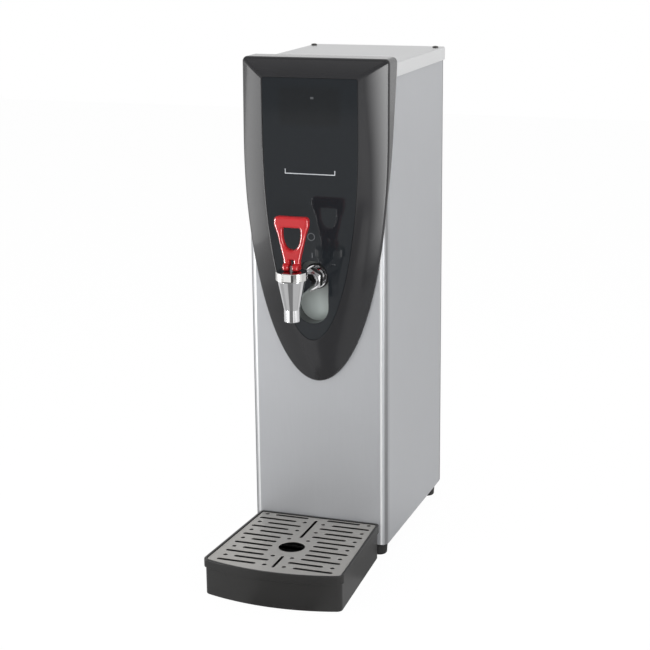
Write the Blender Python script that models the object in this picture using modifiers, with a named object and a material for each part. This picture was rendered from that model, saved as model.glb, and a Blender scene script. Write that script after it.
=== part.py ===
"""Counter-top hot-water dispenser, modelled piece by piece.

Metres, +Z up, -Y towards the user. Inside the assembly, y = 0 is the front face of the
sheet-metal body and z = 0 is the table. The assembly itself is moved along Y, so that the
middle of its depth lies on the origin.
"""
import math

import bmesh
import bpy
import numpy as np
from mathutils import Matrix, Vector

# Fits and sheet metal
GAP = 0.0003
RUNNING_GAP = 0.0004
SHEET = 0.0012
OVERRUN = 0.003
FOLD_RETURN = 0.010
ROUND_SIDES = 20
SMALL_SIDES = 10
SCREW_SIDES = 8
ARC_STEPS = 4
CORNER_STEPS = 3
BORE_SIDES = 16
FOOT_SIDES = 14
DOT_SIDES = 6
HEX_SIDES = 6

# Body
BODY_WIDTH = 0.172
BODY_DEPTH = 0.244
BODY_CORNER = 0.0086
PAN_HEIGHT = 0.009
TOP_FLANGE_FRONT = 0.034
TOP_FLANGE_REAR_SPACE = 0.010
FOOT_HEIGHT = 0.016
FOOT_RADIUS = 0.0112
FOOT_TAPER = 0.0016
FOOT_ROUNDING = 0.0025
FOOT_STEM = 0.003
FOOT_BARB = 0.0014
FOOT_INSET_X = 0.014
FOOT_INSET_FRONT = 0.015
FOOT_INSET_REAR = 0.016
CABLE_WINDOW_WIDTH = 0.022
CABLE_WINDOW_HEIGHT = 0.010

# Top cover
COVER_TOP = 0.599
COVER_SIDE_CLEARANCE = 0.0009
COVER_REAR_CLEARANCE = 0.0008
COVER_FLANGE = 0.0163
COVER_BEND = 0.0022
COVER_FRONT = 0.003
COVER_FLANGE_FRONT = 0.031
COVER_TONGUE_INSET = 0.0005

# Pan-head screws
SCREW_SHANK = 0.0015
SCREW_HEAD = 0.0038
SCREW_HEAD_HEIGHT = 0.0021
SCREW_DOME = 0.0007
SCREW_LENGTH = 0.009
COVER_SCREW_INSET = 0.005
COVER_SCREW_REAR_SPACE = 0.020
BACK_SCREW_INSET = 0.0055
BACK_SCREW_HEIGHTS = (0.045, 0.560)

# Moulded fascia
FASCIA_WIDTH = 0.180
FASCIA_TOP = 0.606
FASCIA_SPRING = 0.514
FASCIA_DROP = 0.2943
FASCIA_CORNER = 0.006
FASCIA_WALL = 0.0025
FASCIA_EDGE_RADIUS = 0.005
FASCIA_EDGE_TURN = math.radians(60)
FASCIA_RIM_LAND = 0.0005
CHEEK_REACH = 0.030
CHEEK_FOOT = 0.437
CHEEK_FULL = 0.595
CHEEK_EDGE_SHARE = 0.13
PANEL_WIDTH = 0.1186
PANEL_TOP = 0.5857
PANEL_DROP = 0.2402
PANEL_CORNER = 0.004
PANEL_STAND = 0.0191
PANEL_BACK_FLARE = 0.001
OVERLAY_INSET = 0.001
OVERLAY_THICKNESS = 0.0012
WELL_RADIUS = 0.0204
WELL_TOP = 0.3714
WELL_BOTTOM = 0.295
WELL_WALL = 0.002
BOSS_RADIUS = 0.0036
BOSS_PILOT_DEPTH = 0.0085
UPPER_BOSS_X = 0.045
UPPER_BOSS_Z = 0.562
LOWER_BOSS_Z = 0.258
LOWER_BOSS_DEPTH_SHARE = 0.85
COVER_RIB_X = 0.040
COVER_RIB_THICKNESS = 0.002
COVER_RIB_FRONT = 0.006
DISPLAY_WIDTH = 0.076
DISPLAY_HEIGHT = 0.046
DISPLAY_Z = 0.552
BOARD_THICKNESS = 0.0016
DISPLAY_STAND = 0.0074
POST_SIZE = 0.004
POST_INSET = 0.006
LAMP_RADIUS = 0.0025
LAMP_X = 0.003
LAMP_Z = 0.562
LAMP_LENGTH = 0.005

# Drip tray and grille
TRAY_HEIGHT = 0.044
TRAY_DEPTH = 0.1655
TRAY_START = 0.0004
TRAY_REAR_WIDTH = 0.155
TRAY_FRONT_WIDTH = 0.172
TRAY_BOW = 0.0145
TRAY_FRONT_CORNER = 0.009
TRAY_REAR_CORNER = 0.006
TRAY_LIP_HEIGHT = 0.010
TRAY_LIP_STEP = 0.002
TRAY_LIP_WIDTH = 0.0035
TRAY_WALL = 0.0025
TRAY_FLOOR = 0.003
TRAY_EDGE = 0.0012
TRAY_DRAFT = 0.001
LEDGE_WIDTH = 0.0035
LEDGE_THICKNESS = 0.0022
GRILLE_THICKNESS = 0.0015
GRILLE_SINK = 0.0008
GRILLE_HOLE = 0.0156
GRILLE_HOLE_Y = -0.0995
SLOT_WIDTH = 0.004
SLOT_ROW_FIRST = -0.0085
SLOT_PITCH = 0.01355
SLOT_ROWS = 12
STARRED_ROWS = (6, 7, 8)
ROW_A_DOT = 0.012
ROW_A_SLOT = (0.023, 0.071)
ROW_B_SLOT = (0.012, 0.055)
ROW_B_DOT = 0.066
CENTRE_SLOT_WIDTH = 0.0035
CENTRE_SLOTS = ((-0.012, -0.070), (-0.128, -0.163))

# Tap
TAP_REACH = 0.0856
SHANK_HEIGHT = 0.3493
SHANK_RADIUS = 0.010
SHANK_BORE = 0.005
SHANK_COLLAR = 0.014
SHANK_COLLAR_THICKNESS = 0.003
SHANK_WASHER_RADIUS = 0.0155
SHANK_WASHER_THICKNESS = 0.0015
SHANK_FRONT = -0.0185
SHANK_TAIL = 0.020
LOCK_NUT_RADIUS = 0.0165
LOCK_NUT_THICKNESS = 0.006
COUPLING_RADIUS = 0.0143
COUPLING_FRONT = -0.0255
COUPLING_LENGTH = 0.012
COUPLING_CHAMFER = 0.0022
SPOUT_TIP = 0.3147
SPOUT_SHOULDER = 0.3294
SPOUT_RADIUS = 0.0092
SPOUT_BORE = 0.0068
SPOUT_ROUNDING = 0.0008
TAP_TOP = 0.3631
TAP_TOP_RADIUS = 0.016
ARM_ROOT_RADIUS = 0.0126
CHAMBER_RADIUS = 0.0085
SEAT_HEIGHT = 0.338
SEAT_BORE = 0.0055
BONNET_RADIUS = 0.0181
BONNET_TOP = 0.3735
BONNET_CHAMFER = 0.0012
BONNET_PLUG_DEPTH = 0.005
BONNET_NOTCH_WIDTH = 0.011
BONNET_NOTCH_DEPTH = 0.0026
STEM_RADIUS = 0.0019
STEM_HEAD = 0.0024
CUP_HEIGHT = 0.0088
CUP_SHOULDER = 0.004
SPRING_RADIUS = 0.0052
SPRING_WIRE = 0.00045
SPRING_TURNS = 5
SPRING_STEPS = 8
PIN_HEIGHT = 0.378
PIN_RADIUS = 0.001
PIN_HEAD_GAP = 0.0008
HANDLE_TOP = 0.436
HANDLE_BAR = 0.0127
HANDLE_WIDTH = 0.041
HANDLE_CORNER = 0.0045
HANDLE_WAIST = 0.019
HANDLE_WAIST_TOP = 0.385
HANDLE_SHOULDER = 0.415
HANDLE_SHOULDER_WIDTH = 0.0334
HANDLE_THICKNESS = 0.0095
HANDLE_NECK_THICKNESS = 0.0084
HANDLE_HEEL_CHAMFER = 0.001
HANDLE_SETBACK = 0.0035
WINDOW_TOP_WIDTH = 0.022
WINDOW_SPRING = 0.418
WINDOW_BOTTOM = 0.3977
WINDOW_CORNER = 0.0025
FORK_SLOT = 0.0046
FORK_SLOT_TOP = 0.386
CAM_OFFSET = 0.0026

# Tank and what sits on it
TANK_WIDTH = 0.144
TANK_FRONT_SPACE = 0.037
TANK_REAR_SPACE = 0.027
TANK_CORNER = 0.020
TANK_BOTTOM = 0.054
TANK_TOP = 0.470
TANK_LIP = 0.008
STUB_BORE = 0.007
GASKET_THICKNESS = 0.002
LID_THICKNESS = 0.0015
LID_SCREW_INSET = 0.0342
JACKET_THICKNESS = 0.008
JACKET_BOTTOM_RISE = 0.002
JACKET_TOP_DROP = 0.004
SLEEVE_WALL = 0.003
SLEEVE_LENGTH = 0.024
BRACKET_WIDTH = 0.120
BRACKET_FOOT = 0.018
BRACKET_FRONT_INSET = 0.018
BRACKET_REAR_INSET = 0.052
HEATER_SETBACK = 0.068
HEATER_HEAD = 0.021
HEATER_HEAD_HEIGHT = 0.008
HEATER_NECK = 0.014
HEATER_TUBE = 0.004
HEATER_SPREAD = 0.009
HEATER_BOTTOM = 0.085
HEATER_PIN = 0.002
HEATER_PIN_HEIGHT = 0.010
PROBE_HEAD = 0.006
PROBE_HEAD_HEIGHT = 0.007
PROBE_CAP = 0.004
PROBE_CAP_HEIGHT = 0.006
TEMPERATURE_PROBE_X = -0.042
TEMPERATURE_PROBE_SETBACK = 0.048
TEMPERATURE_PROBE_RADIUS = 0.0025
TEMPERATURE_PROBE_LENGTH = 0.300
LEVEL_PROBE_X = 0.034
LEVEL_PROBE_REAR_INSET = 0.067
LEVEL_PROBE_RADIUS = 0.002
LEVEL_PROBE_LENGTH = 0.060
THERMOSTAT_X = -0.036
THERMOSTAT_REAR_INSET = 0.049
THERMOSTAT_RADIUS = 0.008
THERMOSTAT_HEIGHT = 0.007
THERMOSTAT_FLANGE = 0.0115
THERMOSTAT_FLANGE_HEIGHT = 0.001
TAB_WIDTH = 0.0045
TAB_THICKNESS = 0.0008
TAB_HEIGHT = 0.006
TAB_SPREAD = 0.004

# Water inlet
VALVE_X = 0.045
VALVE_SPACE = 0.039
VALVE_WIDTH = 0.026
VALVE_HEIGHT = 0.030
VALVE_BEVEL = 0.0015
COIL_RADIUS = 0.0095
COIL_LENGTH = 0.028
COIL_SETBACK = 0.015
FITTING_HEX = 0.0085
FITTING_HEX_LENGTH = 0.005
FITTING_THREAD = 0.006
FITTING_REACH = 0.009
FITTING_BORE = 0.0032
FITTING_CHAMFER = 0.001
FILL_TUBE_RADIUS = 0.0035
FILL_TUBE_REAR_SPACE = 0.0085
FILL_PORT_INSET = 0.022
FILL_TUBE_RISE = 0.024
FILL_TUBE_DIP = 0.004

# Electrics
BRACKET_STAND = 0.018
BRACKET_PLATE_WIDTH = 0.110
BRACKET_PLATE_LOW = 0.498
BRACKET_PLATE_HIGH = 0.588
STANDOFF_RADIUS = 0.003
STANDOFF_HEIGHT = 0.007
STANDOFF_INSET = 0.008
CONTROL_WIDTH = 0.100
CONTROL_MARGIN = 0.004
RELAY_SIZE = (0.020, 0.016, 0.028)
RELAY_PLACE_SHARES = (-0.34, 0.20)
CHOKE_SIZE = (0.018, 0.012, 0.014)
CHOKE_PLACE_SHARES = (-0.32, -0.30)
CONNECTOR_SIZE = (0.030, 0.009, 0.008)
CONNECTOR_PLACE_SHARES = (0.18, -0.38)
SINK_SIZE = (0.036, 0.016, 0.040)
SINK_PLACE_SHARES = (0.22, 0.10)
SINK_BASE = 0.003
SINK_FINS = 6
SINK_FIN = 0.0014
SINK_FIN_SETBACK = 0.00003
TERMINAL_X = -0.045
TERMINAL_REAR_SPACE = 0.048
TERMINAL_SIZE = (0.040, 0.018, 0.016)
TERMINAL_WAYS = 3
TERMINAL_WELL = 0.0032
TERMINAL_WELL_DEPTH = 0.009
GLAND_X = -0.045
GLAND_Z = 0.040
GLAND_FLANGE = 0.0115
GLAND_FLANGE_THICKNESS = 0.004
GLAND_NECK = 0.008
GLAND_REACH = 0.012
GLAND_BORE = 0.0045
GLAND_NUT_RADIUS = 0.0115
GLAND_NUT_THICKNESS = 0.005
SWITCH_X = -0.045
SWITCH_Z = 0.085
SWITCH_WIDTH = 0.0204
SWITCH_HEIGHT = 0.0150
SWITCH_DEPTH = 0.017
SWITCH_BEZEL = 0.0018
SWITCH_BEZEL_MARGIN = 0.002
SWITCH_CAVITY_WALL = 0.002
SWITCH_CAVITY_DEPTH = 0.0105
ROCKER_AXIS_DEPTH = 0.0035
ROCKER_PROUD = 0.0042
ROCKER_DISH = 0.0012
ROCKER_BACK = 0.003
ROCKER_END_GAP = 0.0009
ROCKER_PIVOT = 0.0009
ROCKER_PIVOT_LENGTH = 0.001
ROCKER_SWING = math.radians(14)

# Louvres of the back panel
LOUVRE_WIDTH = 0.036
LOUVRE_HEIGHT = 0.004
LOUVRE_PITCH = 0.011
LOUVRE_ROWS = 7
LOUVRE_LOW = 0.490
LOUVRE_X = 0.032

# Worked out from the sizes above
BODY_HALF = BODY_WIDTH / 2
BODY_FLOOR = FOOT_HEIGHT + GAP
BODY_TOP = COVER_TOP - SHEET - GAP
RETURN_FACE = BODY_DEPTH - SHEET - GAP
PAN_TOP_FACE = BODY_FLOOR + SHEET
COVER_HALF = BODY_HALF + COVER_SIDE_CLEARANCE + SHEET
COVER_REAR = BODY_DEPTH + COVER_REAR_CLEARANCE + SHEET
PANEL_FACE = -PANEL_STAND
OVERLAY_RECESS = OVERLAY_THICKNESS + GAP
RECESS_FLOOR = PANEL_FACE + OVERLAY_RECESS
PANEL_BACK = RECESS_FLOOR + FASCIA_WALL
TAP_Y = -TAP_REACH
TRAY_FRONT = -(TRAY_START + TRAY_DEPTH + TRAY_BOW)
TOP_FLANGE_REAR = BODY_DEPTH - TOP_FLANGE_REAR_SPACE
COVER_SCREW_Y = BODY_DEPTH - COVER_SCREW_REAR_SPACE
TANK_FRONT = TANK_FRONT_SPACE
TANK_REAR = BODY_DEPTH - TANK_REAR_SPACE
TANK_DEPTH = TANK_REAR - TANK_FRONT
TANK_CENTRE_Y = (TANK_REAR + TANK_FRONT) / 2
HEATER_Y = TANK_FRONT + HEATER_SETBACK
TEMPERATURE_PROBE_Y = TANK_FRONT + TEMPERATURE_PROBE_SETBACK
LEVEL_PROBE_Y = TANK_REAR - LEVEL_PROBE_REAR_INSET
PROBES = {
    "temperature_probe": (
        TEMPERATURE_PROBE_X,
        TEMPERATURE_PROBE_Y,
        TEMPERATURE_PROBE_RADIUS,
        TEMPERATURE_PROBE_LENGTH,
    ),
    "level_probe": (LEVEL_PROBE_X, LEVEL_PROBE_Y, LEVEL_PROBE_RADIUS, LEVEL_PROBE_LENGTH),
}
THERMOSTAT_Y = TANK_REAR - THERMOSTAT_REAR_INSET
VALVE_FRONT = BODY_DEPTH - VALVE_SPACE
COIL_Y = VALVE_FRONT + COIL_SETBACK
FILL_TUBE_Y = BODY_DEPTH - FILL_TUBE_REAR_SPACE
FILL_TUBE_PORT_Y = TANK_REAR - FILL_PORT_INSET
TERMINAL_Y = BODY_DEPTH - TERMINAL_REAR_SPACE
PAN_REAR_FACE = RETURN_FACE - SHEET - GAP
VALVE_REAR = PAN_REAR_FACE - SHEET - GAP
VALVE_LOW = PAN_TOP_FACE + GAP
VALVE_Z = VALVE_LOW + VALVE_HEIGHT / 2
LID_BOTTOM = TANK_TOP + GAP + GASKET_THICKNESS + GAP
LID_TOP = LID_BOTTOM + LID_THICKNESS
REAR_END = BODY_DEPTH + GAP + FITTING_HEX_LENGTH + FITTING_REACH
MIDDLE_Y = (TRAY_FRONT + REAR_END) / 2


def clear_scene():
    """Remove whatever the start-up file holds."""
    for obj in list(bpy.data.objects):
        bpy.data.objects.remove(obj, do_unlink=True)


def new_collection(name):
    collection = bpy.data.collections.new(name)
    bpy.context.scene.collection.children.link(collection)
    return collection


def finish(name, colour, roughness, metallic=0.0):
    """A Principled material in one colour."""
    material = bpy.data.materials.new(name)
    material.use_nodes = True
    shader = material.node_tree.nodes["Principled BSDF"]
    shader.inputs["Base Color"].default_value = (*colour, 1.0)
    shader.inputs["Roughness"].default_value = roughness
    shader.inputs["Metallic"].default_value = metallic
    material.diffuse_color = (*colour, 1.0)
    return material


clear_scene()
PARTS = new_collection("water_boiler")
HELPERS = new_collection("cutters")
HELPERS.hide_render = True
ASSEMBLY = bpy.data.objects.new("assembly", None)
ASSEMBLY.location = (0, -MIDDLE_Y, 0)
PARTS.objects.link(ASSEMBLY)

STAINLESS = finish("stainless_sheet", (0.62, 0.62, 0.63), 0.35, 1.0)
STEEL = finish("zinc_steel", (0.50, 0.50, 0.51), 0.45, 1.0)
CHROME = finish("chrome", (0.80, 0.80, 0.81), 0.10, 1.0)
GLOSS_BLACK = finish("gloss_black", (0.025, 0.025, 0.028), 0.18)
OVERLAY_BLACK = finish("overlay_black", (0.015, 0.018, 0.022), 0.08)
TRAY_BLACK = finish("tray_black", (0.03, 0.03, 0.03), 0.40)
RED = finish("red_plastic", (0.60, 0.03, 0.04), 0.30)
RUBBER = finish("black_rubber", (0.02, 0.02, 0.02), 0.80)
SILICONE = finish("silicone", (0.75, 0.72, 0.68), 0.60)
FOAM = finish("insulation", (0.55, 0.53, 0.48), 0.95)
BOARD = finish("board_green", (0.02, 0.16, 0.07), 0.45)
BRASS = finish("brass", (0.70, 0.52, 0.22), 0.30, 1.0)
ALUMINIUM = finish("aluminium", (0.70, 0.70, 0.72), 0.40, 1.0)
DARK_SCREW = finish("dark_screw", (0.08, 0.08, 0.085), 0.40, 1.0)


def place(name, mesh, material, at=(0, 0, 0), turn=(0, 0, 0)):
    """Show a mesh as a named piece of the assembly."""
    obj = bpy.data.objects.new(name, mesh)
    PARTS.objects.link(obj)
    obj.parent = ASSEMBLY
    obj.location = at
    obj.rotation_euler = turn
    mesh.materials.clear()
    mesh.materials.append(material)
    mesh.shade_smooth()
    mesh.set_sharp_from_angle(angle=math.radians(32))
    return obj


def helper(name, mesh, at=(0, 0, 0), turn=(0, 0, 0)):
    """Keep a mesh as a hidden tool that cuts or joins a piece."""
    obj = bpy.data.objects.new(name, mesh)
    HELPERS.objects.link(obj)
    obj.parent = ASSEMBLY
    obj.location = at
    obj.rotation_euler = turn
    obj.hide_render = True
    obj.display_type = "WIRE"
    return obj


def to_mesh(bm, name):
    mesh = bpy.data.meshes.new(name)
    bm.to_mesh(mesh)
    bm.free()
    return mesh


def block(size, bevel=0, segments=2):
    """A box about its own centre, with all its edges rounded by bevel."""
    bm = bmesh.new()
    bmesh.ops.create_cube(bm, size=1)
    bmesh.ops.scale(bm, vec=size, verts=bm.verts)
    if bevel:
        bmesh.ops.bevel(bm, geom=bm.edges[:], offset=bevel, segments=segments, affect="EDGES", profile=0.5)
    return to_mesh(bm, "block")


def span(low, high):
    """A box from its lowest to its highest corner, as a mesh in assembly coordinates."""
    mesh = block([top - bottom for bottom, top in zip(low, high)])
    mesh.transform(Matrix.Translation([(top + bottom) / 2 for bottom, top in zip(low, high)]))
    return mesh


def round_bar(radius, start, end, sides=SMALL_SIDES, end_radius=None):
    """A cylinder or cone between two points, as a mesh in assembly coordinates."""
    start = Vector(start)
    way = Vector(end) - start
    bm = bmesh.new()
    bmesh.ops.create_cone(bm, cap_ends=True, segments=sides, radius1=radius,
                          radius2=radius if end_radius is None else end_radius, depth=way.length)
    turn = way.to_track_quat("Z", "Y").to_matrix().to_4x4()
    bmesh.ops.transform(bm, matrix=Matrix.Translation(start + way / 2) @ turn, verts=bm.verts)
    return to_mesh(bm, "round_bar")


def turned(profile, sides=ROUND_SIDES):
    """The solid that a profile of (radius, height), from top to bottom outside, sweeps about Z."""
    mesh = bpy.data.meshes.new("turned")
    points = [(radius, 0, height) for radius, height in profile]
    closed = profile[0][0] > 0
    edges = [(i, i + 1) for i in range(len(points) - 1)]
    if closed:
        edges.append((len(points) - 1, 0))
    mesh.from_pydata(points, edges, [])
    obj = bpy.data.objects.new("turned", mesh)
    HELPERS.objects.link(obj)
    screw = obj.modifiers.new("sweep", "SCREW")
    screw.axis = "Z"
    screw.steps = sides
    screw.render_steps = sides
    screw.use_merge_vertices = True
    screw.merge_threshold = 0.00001
    screw.use_normal_calculate = True
    made = bpy.data.meshes.new_from_object(obj.evaluated_get(bpy.context.evaluated_depsgraph_get()))
    bpy.data.objects.remove(obj)
    bm = bmesh.new()
    bm.from_mesh(made)
    bmesh.ops.remove_doubles(bm, verts=bm.verts, dist=0.00001)
    bmesh.ops.recalc_face_normals(bm, faces=bm.faces)
    return to_mesh(bm, "turned")


def curve_to_mesh(curve):
    """The mesh of a filled or bevelled curve, with its caps welded on."""
    obj = bpy.data.objects.new("curve", curve)
    HELPERS.objects.link(obj)
    made = bpy.data.meshes.new_from_object(obj.evaluated_get(bpy.context.evaluated_depsgraph_get()))
    bpy.data.objects.remove(obj)
    bm = bmesh.new()
    bm.from_mesh(made)
    bmesh.ops.remove_doubles(bm, verts=bm.verts, dist=0.00001)
    bmesh.ops.recalc_face_normals(bm, faces=bm.faces)
    return to_mesh(bm, "curve")


def flat(outlines, thickness):
    """A plate in the XY plane about z = 0, filled between closed outlines; inner ones are holes."""
    curve = bpy.data.curves.new("outline", "CURVE")
    curve.dimensions = "2D"
    curve.fill_mode = "BOTH"
    curve.extrude = thickness / 2
    for outline in outlines:
        spline = curve.splines.new("POLY")
        spline.points.add(len(outline) - 1)
        for point, (x, y) in zip(spline.points, outline):
            point.co = (x, y, 0, 1)
        spline.use_cyclic_u = True
    return curve_to_mesh(curve)


def wire(points, radius, resolution=2):
    """A round bar along a line of points, with filled ends."""
    curve = bpy.data.curves.new("wire", "CURVE")
    curve.dimensions = "3D"
    curve.bevel_depth = radius
    curve.bevel_resolution = resolution
    curve.use_fill_caps = True
    spline = curve.splines.new("POLY")
    spline.points.add(len(points) - 1)
    for point, place_at in zip(spline.points, points):
        point.co = (*place_at, 1)
    return curve_to_mesh(curve)


def skin(rings, wrap=True, ring_closed=True, caps=False):
    """Faces between rings of equally many points: a tube closed on itself, or one with flat caps."""
    bm = bmesh.new()
    rows = [[bm.verts.new(point) for point in ring] for ring in rings]
    count = len(rows[0])
    pairs = list(zip(rows, rows[1:]))
    if wrap:
        pairs.append((rows[-1], rows[0]))
    for lower, upper in pairs:
        for i in range(count if ring_closed else count - 1):
            j = (i + 1) % count
            bm.faces.new((lower[i], lower[j], upper[j], upper[i]))
    if caps:
        bm.faces.new(rows[0][::-1])
        bm.faces.new(rows[-1])
    if ring_closed:
        bmesh.ops.recalc_face_normals(bm, faces=bm.faces)
    return to_mesh(bm, "skin")


def boolean(obj, tools, operation):
    for tool in tools:
        modifier = obj.modifiers.new(operation.lower(), "BOOLEAN")
        modifier.operation = operation
        modifier.object = tool
    return obj


def cut(obj, *meshes):
    return boolean(obj, [helper(obj.name + "_cut", mesh) for mesh in meshes], "DIFFERENCE")


def fuse(obj, *meshes):
    return boolean(obj, [helper(obj.name + "_join", mesh) for mesh in meshes], "UNION")


def clip(obj, *meshes):
    return boolean(obj, [helper(obj.name + "_clip", mesh) for mesh in meshes], "INTERSECT")


def wall(obj, thickness):
    """Give an open surface its thickness, inwards from the face that points out."""
    solidify = obj.modifiers.new("wall", "SOLIDIFY")
    solidify.thickness = thickness
    solidify.offset = -1
    solidify.use_even_offset = True
    return obj


def arc(centre, radius, start, end, steps=ARC_STEPS):
    """Points on a circle between two angles in degrees."""
    angles = np.radians(np.linspace(start, end, steps + 1))
    return [(centre[0] + radius * math.cos(a), centre[1] + radius * math.sin(a)) for a in angles]


def rounded_rectangle(half_x, half_y, radius, centre=(0, 0), steps=ARC_STEPS):
    """A rectangle with round corners, anticlockwise from its lower right corner."""
    x, y = half_x - radius, half_y - radius
    corners = ((x, -y, -90), (x, y, 0), (-x, y, 90), (-x, -y, 180))
    return [
        point
        for cx, cy, start in corners
        for point in arc((centre[0] + cx, centre[1] + cy), radius, start, start + 90, steps)
    ]


def circle(centre, radius, sides=SMALL_SIDES):
    return arc(centre, radius, 0, 360 - 360 / sides, sides - 1)


def obround(radius, low, high, steps=8):
    """An upright slot about x = 0 from its lowest to its highest point, anticlockwise."""
    return arc((0, high - radius), radius, 0, 180, steps) + arc((0, low + radius), radius, 180, 360, steps)


def inset(outline, distance):
    """The outline moved inwards, to the left of an anticlockwise outline, by a distance."""
    points = np.asarray(outline, float)
    ahead = np.roll(points, -1, axis=0) - points
    ahead /= np.linalg.norm(ahead, axis=1)[:, None]
    behind = np.roll(ahead, 1, axis=0)
    left = np.stack([-ahead[:, 1] - behind[:, 1], ahead[:, 0] + behind[:, 0]], axis=1)
    left /= np.linalg.norm(left, axis=1)[:, None]
    lean = (left * np.stack([-ahead[:, 1], ahead[:, 0]], axis=1)).sum(axis=1)
    return points + left * (distance / lean)[:, None]


def upright(mesh, y):
    """Turn a plate from the XY plane to the XZ plane, its middle at y."""
    mesh.transform(Matrix.Translation((0, y, 0)) @ Matrix.Rotation(math.radians(90), 4, "X"))
    return mesh


def laid(mesh, z):
    mesh.transform(Matrix.Translation((0, 0, z)))
    return mesh


def along_y(mesh, x, y, z):
    """Turn a solid made about Z so that its top points to the user, with its origin at a point."""
    mesh.transform(Matrix.Translation((x, y, z)) @ Matrix.Rotation(math.radians(90), 4, "X"))
    return mesh


def screw(name, material, head_at, into):
    """A pan-head screw whose head rests at head_at and whose shank runs along the vector into."""
    profile = [
        (0, SCREW_HEAD_HEIGHT),
        (SCREW_HEAD * 0.6, SCREW_HEAD_HEIGHT),
        (SCREW_HEAD, SCREW_HEAD_HEIGHT - SCREW_DOME),
        (SCREW_HEAD, 0),
        (SCREW_SHANK, 0),
        (SCREW_SHANK, -SCREW_LENGTH),
        (0, -SCREW_LENGTH),
    ]
    turn = (-Vector(into)).to_track_quat("Z", "Y").to_euler()
    return place(name, turned(profile, SCREW_SIDES), material, head_at, turn)


def clearance_hole(at, way, reach, radius=SCREW_SHANK + GAP):
    """A cutter for a screw or pin, reach to either side of a point, whose flats clear the radius."""
    at = Vector(at)
    half = Vector(way).normalized() * reach
    return round_bar(radius / math.cos(math.pi / SMALL_SIDES), at - half, at + half)


def open_box(outline, low, high, lip=0):
    """Floor and walls as one open surface facing out, with a lip turned outwards at its top."""
    bm = bmesh.new()
    rings = [[bm.verts.new((x, y, z)) for x, y in outline] for z in (low, high)]
    if lip:
        rings.append([bm.verts.new((x, y, high)) for x, y in inset(outline, -lip)])
    bm.faces.new(rings[0][::-1])
    for lower, upper in zip(rings, rings[1:]):
        for i in range(len(outline)):
            j = (i + 1) % len(outline)
            bm.faces.new((lower[i], lower[j], upper[j], upper[i]))
    return to_mesh(bm, "open_box")


def folded(path, low, high):
    """A strip folded along a path of points, from a low to a high place on the third axis."""
    return skin([[(*point, place_at) for point in path] for place_at in (low, high)], False, False)


def body_wrap():
    """Front and sides from one sheet, with flanges turned in at the rear and along the top."""
    corner = arc((BODY_HALF - BODY_CORNER, BODY_CORNER), BODY_CORNER, -90, 0)
    flange = [(BODY_HALF, TOP_FLANGE_FRONT), (BODY_HALF, TOP_FLANGE_REAR)]
    right = corner + flange + [(BODY_HALF, RETURN_FACE), (BODY_HALF - FOLD_RETURN, RETURN_FACE)]
    path = [(-x, y) for x, y in reversed(right)] + right
    flange_ends = [{(side * x, y) for x, y in flange} for side in (-1, 1)]
    bm = bmesh.new()
    lower = [bm.verts.new((x, y, BODY_FLOOR)) for x, y in path]
    upper = [bm.verts.new((x, y, BODY_TOP)) for x, y in path]
    for i in range(len(path) - 1):
        bm.faces.new((lower[i], lower[i + 1], upper[i + 1], upper[i]))
    for i in range(len(path) - 1):
        if {path[i], path[i + 1]} in flange_ends:
            inward = math.copysign(FOLD_RETURN, -path[i][0])
            ends = [bm.verts.new((path[k][0] + inward, path[k][1], BODY_TOP)) for k in (i + 1, i)]
            bm.faces.new((upper[i], upper[i + 1], *ends))
    obj = wall(place("body_wrap", to_mesh(bm, "body_wrap"), STAINLESS), SHEET)
    through = ((0, -OVERRUN, SHANK_HEIGHT), (0, OVERRUN, SHANK_HEIGHT))
    tools = [round_bar(SHANK_RADIUS + GAP, *through, ROUND_SIDES)]
    tools += [clearance_hole((x, 0, z), (0, 1, 0), OVERRUN) for x, z in fascia_screw_places()]
    tools += [
        clearance_hole((side * (BODY_HALF - BACK_SCREW_INSET), BODY_DEPTH, z), (0, 1, 0), 2 * OVERRUN)
        for side in (-1, 1)
        for z in BACK_SCREW_HEIGHTS
    ]
    tools += cover_screw_holes(2 * OVERRUN)
    half_x, half_z = CABLE_WINDOW_WIDTH / 2, CABLE_WINDOW_HEIGHT / 2
    tools.append(span((-half_x, -OVERRUN, DISPLAY_Z - half_z), (half_x, OVERRUN, DISPLAY_Z + half_z)))
    return cut(obj, *tools)


def fascia_screw_places():
    return ((-UPPER_BOSS_X, UPPER_BOSS_Z), (UPPER_BOSS_X, UPPER_BOSS_Z), (0, LOWER_BOSS_Z))


def cover_screw_sides():
    x = BODY_HALF - COVER_SCREW_INSET
    return (-x, x)


def cover_screw_holes(reach):
    """Cutters for the two cover screws, reaching so far above and below the cover's top."""
    return [clearance_hole((x, COVER_SCREW_Y, COVER_TOP), (0, 0, 1), reach) for x in cover_screw_sides()]


def foot_places():
    x = BODY_HALF - FOOT_INSET_X
    rear = BODY_DEPTH - FOOT_INSET_REAR
    return {
        "foot_front_left": (-x, FOOT_INSET_FRONT),
        "foot_front_right": (x, FOOT_INSET_FRONT),
        "foot_rear_left": (-x, rear),
        "foot_rear_right": (x, rear),
    }


def base_pan():
    """The floor of the body, a shallow folded pan with a hole for each foot."""
    front = SHEET + GAP
    half_y = (PAN_REAR_FACE - front) / 2
    radius = BODY_CORNER - SHEET - GAP
    outline = rounded_rectangle(BODY_HALF - SHEET - GAP, half_y, radius, (0, front + half_y), CORNER_STEPS)
    mesh = open_box(outline, BODY_FLOOR, BODY_FLOOR + PAN_HEIGHT)
    obj = wall(place("base_pan", mesh, STEEL), SHEET)
    stem_hole = FOOT_STEM + GAP
    places = foot_places().values()
    return cut(obj, *[clearance_hole((x, y, BODY_FLOOR), (0, 0, 1), OVERRUN, stem_hole) for x, y in places])


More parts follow.
